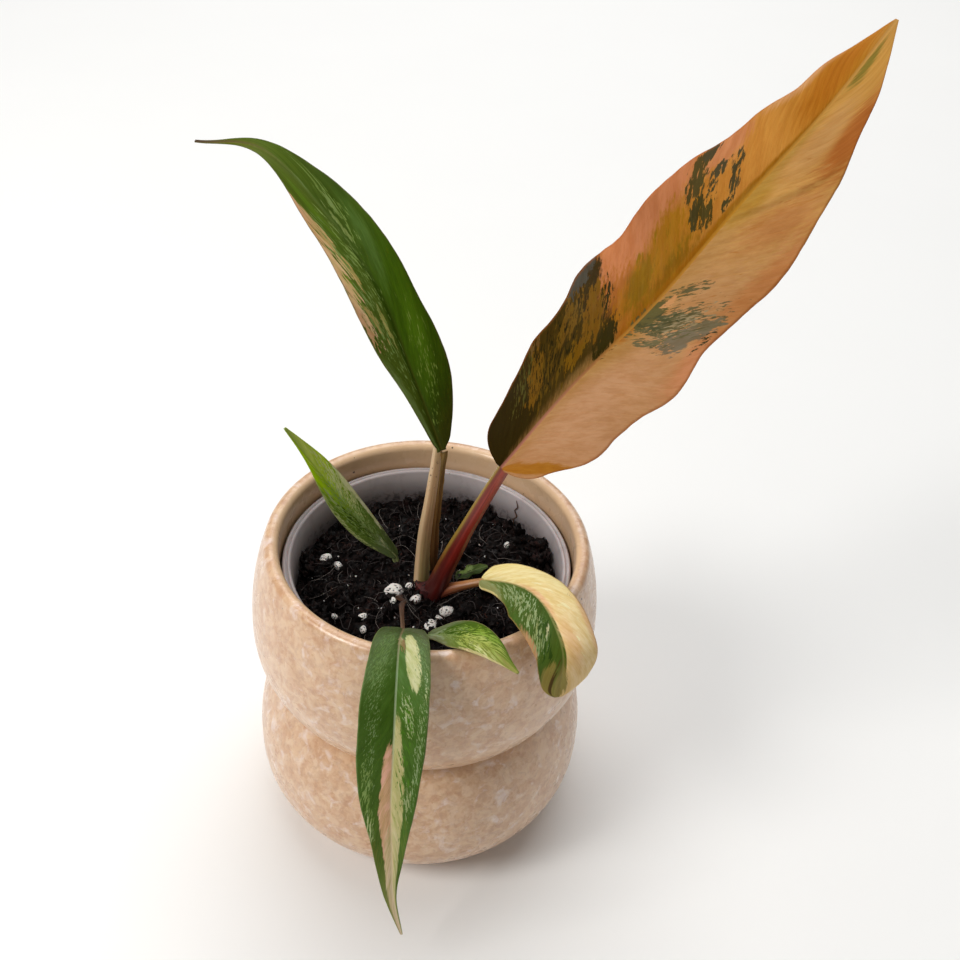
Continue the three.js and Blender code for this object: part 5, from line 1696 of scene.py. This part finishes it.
# %% The small left leaf
LEFT_BLADE = {
    "spine": [(-11, 7, 98), (-23, 5, 114), (-35, 7, 130), (-47, 10, 146)],
    "facing": [(0.3, -0.6, 0.7), (0.2, -0.6, 0.7)],
    "halves": [
        (1.6, 1.6), (3.4, 2.9), (4.9, 4.2), (5.5, 5), (5.4, 5.2), (3.9, 5), (1.9, 4.3), (0.8, 2.5),
        (0.4, 0.4)],
    "fold": (20, 12), "cup": (0.05, 0), "base": 0.04, "neck": 1, "waves": [(0.3, 2, 0, 1)],
    "pucker": 0.08, "keel": 0.5, "lanes": 32, "rows": 130, "thick": 0.5,
}
LEFT_LOOK = {
    "seed": 14.0, "sweep": 0.2, "vein_gap": 3.0, "roughness": 0.4, "fray_across": 0.8, "fray_along": 1.4,
    "left": [
        (0, "#5c6a44"), (0.1, "#566c2a"), (0.3, "#566e14"), (0.42, "#6c8a0a"), (0.52, "#98ba06"),
        (0.68, "#a4c40c"), (0.8, "#98b224"), (0.92, "#74863a"), (1, "#54644a")],
    "right": [
        (0, "#58663e"), (0.1, "#5a7032"), (0.3, "#566e22"), (0.48, "#7c9618"), (0.6, "#a0b62c"),
        (0.75, "#a4b050"), (0.88, "#8c9a44"), (1, "#5c6c4c")],
    "patches": [
        ("#8c9a7a", (0.1, 0.0), (0.045, 0.35), 0.7, 0.4),
        ("#b5b694", (0.42, 0.95), (0.2, 0.14), 0.9, 0.2),
        ("#cbc8a6", (0.58, 0.97), (0.11, 0.26), 0.6, 0.2),
        ("#c0c09c", (0.28, 0.96), (0.05, 0.16), 0.9, 0.2),
        ("#93a068", (0.55, -0.52), (0.07, 0.09), 1.4, 0.2),
        ("#9aa66c", (0.56, 0.3), (0.03, 0.1), 1.4, 0.2), ("#97a06a", (0.47, 0.7), (0.04, 0.1), 1.4, 0.2)],
    "flecks": [
        ("#849a5c", (0.35, 0.0), (0.4, 0.9), 0.58, 0.4, 1.0),
        ("#b3b880", (0.6, 0.5), (0.3, 0.5), 0.56, 0.4, 1.0),
        ("#a2ac74", (0.4, -0.9), (0.3, 0.16), 0.7, 0.4, 1.1),
        ("#c4c8a0", (0.12, 0.1), (0.06, 0.3), 0.6, 0.5, 1.6),
        ("#3c5210", (0.35, -0.3), (0.25, 0.5), 0.45, 0.7, 1.6),
        ("#b8bf6c", (0.72, -0.3), (0.12, 0.5), 0.4, 0.5, 1.2)],
    "midrib": [(0, "#7f8c68"), (0.5, "#6c8030"), (1, "#98a24c")], "midrib_width": 0.34,
    "margin": "#9a9c70", "underside": "#7f9160", "margin_strength": 0.4,
}
make_leaf("left_leaf_blade", "left_blade", "green_leaf", LEFT_BLADE, LEFT_LOOK)

# %% The small right-front leaf
RIGHT_BLADE = {
    "spine": [
        (3, -35, 106), (12, -41.4, 113.8), (21, -49.6, 119.4), (30, -59, 119.6)],
    "facing": [(0.1, -0.3, 1), (0.25, -0.3, 1)],
    "halves": [
        (1.4, 1.4), (2.9, 2.5), (4.9, 4.1), (5.8, 5.4), (5.6, 5.9), (4.8, 5.4), (3.4, 4), (1.6, 2.2),
        (0.4, 0.4)],
    "fold": (14, 8), "cup": (-0.05, -0.1), "base": 0.06, "neck": 1, "waves": [(0.3, 2, 1, 1)],
    "pucker": 0.08, "keel": 0.5, "lanes": 32, "rows": 130, "thick": 0.5,
}
RIGHT_LOOK = {
    "seed": 17.0, "sweep": 0.3, "vein_gap": 2.6, "roughness": 0.42, "fray_across": 0.8, "fray_along": 1.6,
    "left": [
        (0, "#667050"), (0.08, "#4e6428"), (0.25, "#46600f"), (0.45, "#4e6618"), (0.6, "#5a6e20"),
        (0.8, "#6e7c2e"), (1, "#93944a")],
    "right": [
        (0, "#888c6c"), (0.1, "#7a8450"), (0.22, "#627430"), (0.4, "#6e7c34"), (0.6, "#868c42"),
        (0.8, "#949250"), (1, "#a0965a")],
    "patches": [
        ("#8f9a7c", (0.08, 0.1), (0.06, 0.5), 0.9, 0.3), ("#c8ba8e", (0.75, 0.97), (0.2, 0.18), 0.7, 0.2),
        ("#a5b264", (0.5, 0.66), (0.04, 0.16), 1.6, 0.2), ("#a8b667", (0.6, -0.3), (0.03, 0.1), 1.6, 0.2),
        ("#a3b160", (0.78, 0.2), (0.04, 0.2), 1.6, 0.2)],
    "flecks": [
        ("#a9b260", (0.55, 0.1), (0.34, 0.9), 0.6, 0.42, 2.0),
        ("#86a040", (0.55, -0.55), (0.3, 0.45), 0.56, 0.4, 1.8),
        ("#7c8c58", (0.2, 0.0), (0.16, 0.8), 0.6, 0.36, 1.2),
        ("#3f5814", (0.35, -0.3), (0.3, 0.6), 0.5, 0.7, 2.6),
        ("#c5c88c", (0.65, 0.5), (0.2, 0.4), 0.46, 0.5, 1.4),
        ("#8a744c", (0.6, 0.9), (0.1, 0.1), 0.4, 0.5, 0.8)],
    "midrib": [(0, "#8a9468"), (0.5, "#6d8830"), (1, "#98984c")], "midrib_width": 0.32,
    "margin": "#b5a072", "underside": "#8c9c64", "margin_strength": 0.5,
}
make_leaf("right_leaf_blade", "right_blade", "green_leaf", RIGHT_BLADE, RIGHT_LOOK)

# %% [markdown]
# The crown and the stalks. The crown is a short thick stem in the soil, and one dry root clings
# to the nursery pot's wall. The path of each leaf's stalk goes on under its blade and thins out
# there, so that the stalk flows into the midrib as it does on the plant, with no step between
# them.

# %% Crown and stalks
WALL_ROOT = [(28.6, 33.5, 104.6), (29.1, 32.5, 102.4), (28.3, 32.9, 100.6), (29.1, 32.0, 98.6),
             (28.2, 32.6, 96.8), (28.5, 32.0, 94.5)]
WALL_ROOT_RADII = [0.1, 0.2, 0.16, 0.2, 0.12, 0.2]
CROWN = [(0, -3, 78), (0.5, -4, 89), (1.2, -5, 98.4)]
CROWN_RADII = [4.6, 5.6, 4.4]
LEAF_STALKS = [
    {"name": "caramel_leaf_stalk", "node": "caramel_stalk", "slot": "red_stalk",
     "points": [(2.6, -7.2, 95.5), (7.5, -8.6, 113), (14, -9.4, 132)], "blade": CARAMEL_BLADE,
     "radii": (3.7, 2.2), "finish": RED_STALK, "groove": 0.18, "side": (-0.6, -0.7, 0.4), "reach": 0.13},
    {"name": "arching_leaf_stalk", "node": "arching_stalk", "slot": "tan_stalk",
     "points": [(-1.7, -2.2, 95.5), (-1.3, -2.4, 115), (0.3, -2.8, 134)], "blade": ARCHING_BLADE,
     "radii": (2.6, 1.7), "finish": TAN_STALK, "reach": 0.05, "sink": 1.2},
    {"name": "curled_leaf_stalk", "node": "curled_stalk", "slot": "tan_stalk",
     "points": [(2.5, -7.5, 95.6), (8.4, -9, 100.6), (13.4, -9.9, 103.8)], "blade": CURLED_BLADE,
     "radii": (2.3, 1.4), "finish": CURLED_STALK},
    {"name": "front_leaf_stalk", "node": "front_stalk", "slot": "tan_stalk",
     "points": [(-7, -9, 84), (-7.2, -11, 96), (-8, -15, 100.6), (-5.6, -19.5, 103.6), (-5.8, -26, 108)],
     "blade": FRONT_BLADE, "radii": (1.2, 0.85), "finish": BROWN_STALK},
    {"name": "left_leaf_stalk", "node": "left_stalk", "slot": "green_stalk",
     "points": [(-9.6, 7.6, 86), (-10.4, 7.2, 93)], "blade": LEFT_BLADE, "radii": (1.4, 1.2),
     "finish": GREEN_STALK},
    {"name": "right_leaf_stalk", "node": "right_stalk", "slot": "green_stalk",
     "points": [(1.6, -22.5, 84), (2, -26.5, 95)], "blade": RIGHT_BLADE, "radii": (1.4, 1.1),
     "finish": GREEN_STALK},
]
STALK_END = (0.8, 0.25)


def under_blade(blade, reach, sink):
    """A few points along the underside of a blade's midrib, for a stalk to run out on."""
    shares = np.linspace(0.012, reach, 3)
    middle, _ = blade_surface(blade, shares, np.zeros(3))
    ahead = unit(curve(blade["spine"], shares + 0.01) - curve(blade["spine"], shares))
    side = unit(np.cross(ahead, curve(blade["facing"], shares)))
    up = np.cross(side, ahead)
    return [tuple(point) for point in middle - up * sink]


def leaf_stalk(name, node, slot, points, blade, radii, finish, groove=0.0, side=(0, -1, 0), reach=0.1,
               sink=0.85):
    base, top = radii
    path = points + under_blade(blade, reach, top * sink)
    seat = np.linspace(0, 1, len(path))[len(points) - 1]
    places = [0, seat, (1 + seat) / 2, 1]
    girths = np.interp(np.linspace(0, 1, 12), places, [base, top, *(share * top for share in STALK_END)])
    hand_over(stalk(name, path, girths, finish, groove, side), slot, node)


hand_over(stalk("wall_root", WALL_ROOT, WALL_ROOT_RADII, BROWN_STALK), "crown")
hand_over(stalk("crown_stem", CROWN, CROWN_RADII, CROWN_FINISH, ribs=0.04), "crown", "crown")
for leaf_traits in LEAF_STALKS:
    leaf_stalk(**leaf_traits)


# %% [markdown]
# Two dry or broken scraps finish the plant: the brown sheath that once wrapped the young stalk
# and now stands beside it, and a small ragged piece of green leaf on the soil. Both are strips
# like the blades, with a torn margin and a dull skin.

# %% The dried sheath and the scrap of leaf
SHEATH_BLADE = {
    "spine": [(2.6, 2, 92.5), (2.2, 1.1, 110), (2.7, 0, 130), (3.9, -1.9, 150.5)],
    "facing": [(0.5, -0.8, 0.2), (0.5, -0.8, 0.2)],
    "halves": [(1.4, 1.2), (2.0, 1.3), (2.3, 1.6), (2.2, 1.4), (1.7, 1.2)], "fold": (-14, -14),
    "cup": (-0.1, -0.1), "base": 0.02, "neck": 1, "waves": [(0.2, 4, 0, 1)], "pucker": 0.3, "keel": 0.3,
    "channel": 0.3, "lanes": 20, "rows": 120, "ragged": 0.3, "thick": 0.5,
}
SHEATH_LOOK = {
    "seed": 20.0, "sweep": 1.0, "ground_sweep": 0.0, "vein_gap": 12.0, "ground_fray": 0.1,
    "roughness": 0.7, "left": [(0, "#644a3a"), (0.3, "#9c7a56"), (0.6, "#b8966a"), (1, "#b09460")],
    "right": [(0, "#503a2e"), (0.3, "#7c5c40"), (0.6, "#96784c"), (1, "#a08850")],
    "patches": [
        ("#dcc49c", (0.5, -0.98), (0.6, 0.16), 0.6, 0.2), ("#7c5c3c", (0.7, 0.3), (0.2, 0.3), 1.5, 0.3),
        ("#4c3424", (0.9, 0.2), (0.03, 0.5), 1.0, 0.3)],
    "flecks": [("#6c4c34", (0.5, 0.2), (0.5, 0.9), 0.25, 0.4, 3.0)], "vein_colour": "#4a3828",
    "vein_strength": 0.4, "grain_colour": "#d8c8b0", "cloud_colour": "#e0d2bc",
    "midrib": [(0, "#4a3424"), (1, "#7a5c3a")], "midrib_width": 0.3, "midrib_strength": 0.2,
    "margin": "#d8c098", "underside": "#a88860",
}
make_leaf("dried_sheath_strip", "dried_sheath", "dry_sheath", SHEATH_BLADE, SHEATH_LOOK)
SCRAP_BLADE = {
    "spine": [(9.6, -0.4, 97.2), (14.6, 2.6, 98), (20, 6, 97.8)],
    "facing": [(0, -0.2, 1), (0.1, -0.2, 1)],
    "halves": [
        (0.8, 0.6), (2, 1.4), (1.5, 2.1), (2.5, 1.5), (1.7, 2), (1.9, 0.9), (0.5, 0.5)],
    "fold": (8, 0), "cup": (0, 0), "base": 0.03, "neck": 0.5, "waves": [(0.4, 1.5, 0, 1)], "pucker": 0.3,
    "keel": 0.2, "channel": 0.1, "lanes": 24, "rows": 80, "ragged": 0.22, "thick": 0.4,
}
SCRAP_LOOK = {
    "seed": 23.0, "sweep": 0.2, "vein_gap": 1.6, "ground_fray": 0.1, "roughness": 0.55,
    "left": [(0, "#2e3a1a"), (0.5, "#425428"), (1, "#506032")],
    "right": [(0, "#263216"), (0.5, "#384a22"), (1, "#46562c")],
    "patches": [("#6c7c48", (0.4, -0.5), (0.2, 0.4), 1.2, 0.4)],
    "flecks": [("#2c2418", (0.5, 0.2), (0.5, 0.9), 0.4, 0.5, 1.0)], "vein_strength": 0.3,
    "grain_colour": "#d3dcb4", "midrib": [(0, "#5c6c3c"), (1, "#7a8850")], "midrib_width": 0.25,
    "midrib_strength": 0.3, "margin": "#8a8a58", "underside": "#5c6c40",
}
make_leaf("leaf_scrap_piece", "leaf_scrap", "green_leaf", SCRAP_BLADE, SCRAP_LOOK)

# %% [markdown]
# Last, the dressed model's size is measured and printed beside the imported model's.

# %% Measure and finish
boxes = {"cad": [list(corner) for corner in cad_box], "visual": [list(corner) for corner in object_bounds()]}
for label, (low, high) in boxes.items():
    print(label, [round((b - a) / MM, 1) for a, b in zip(low, high)], "mm")
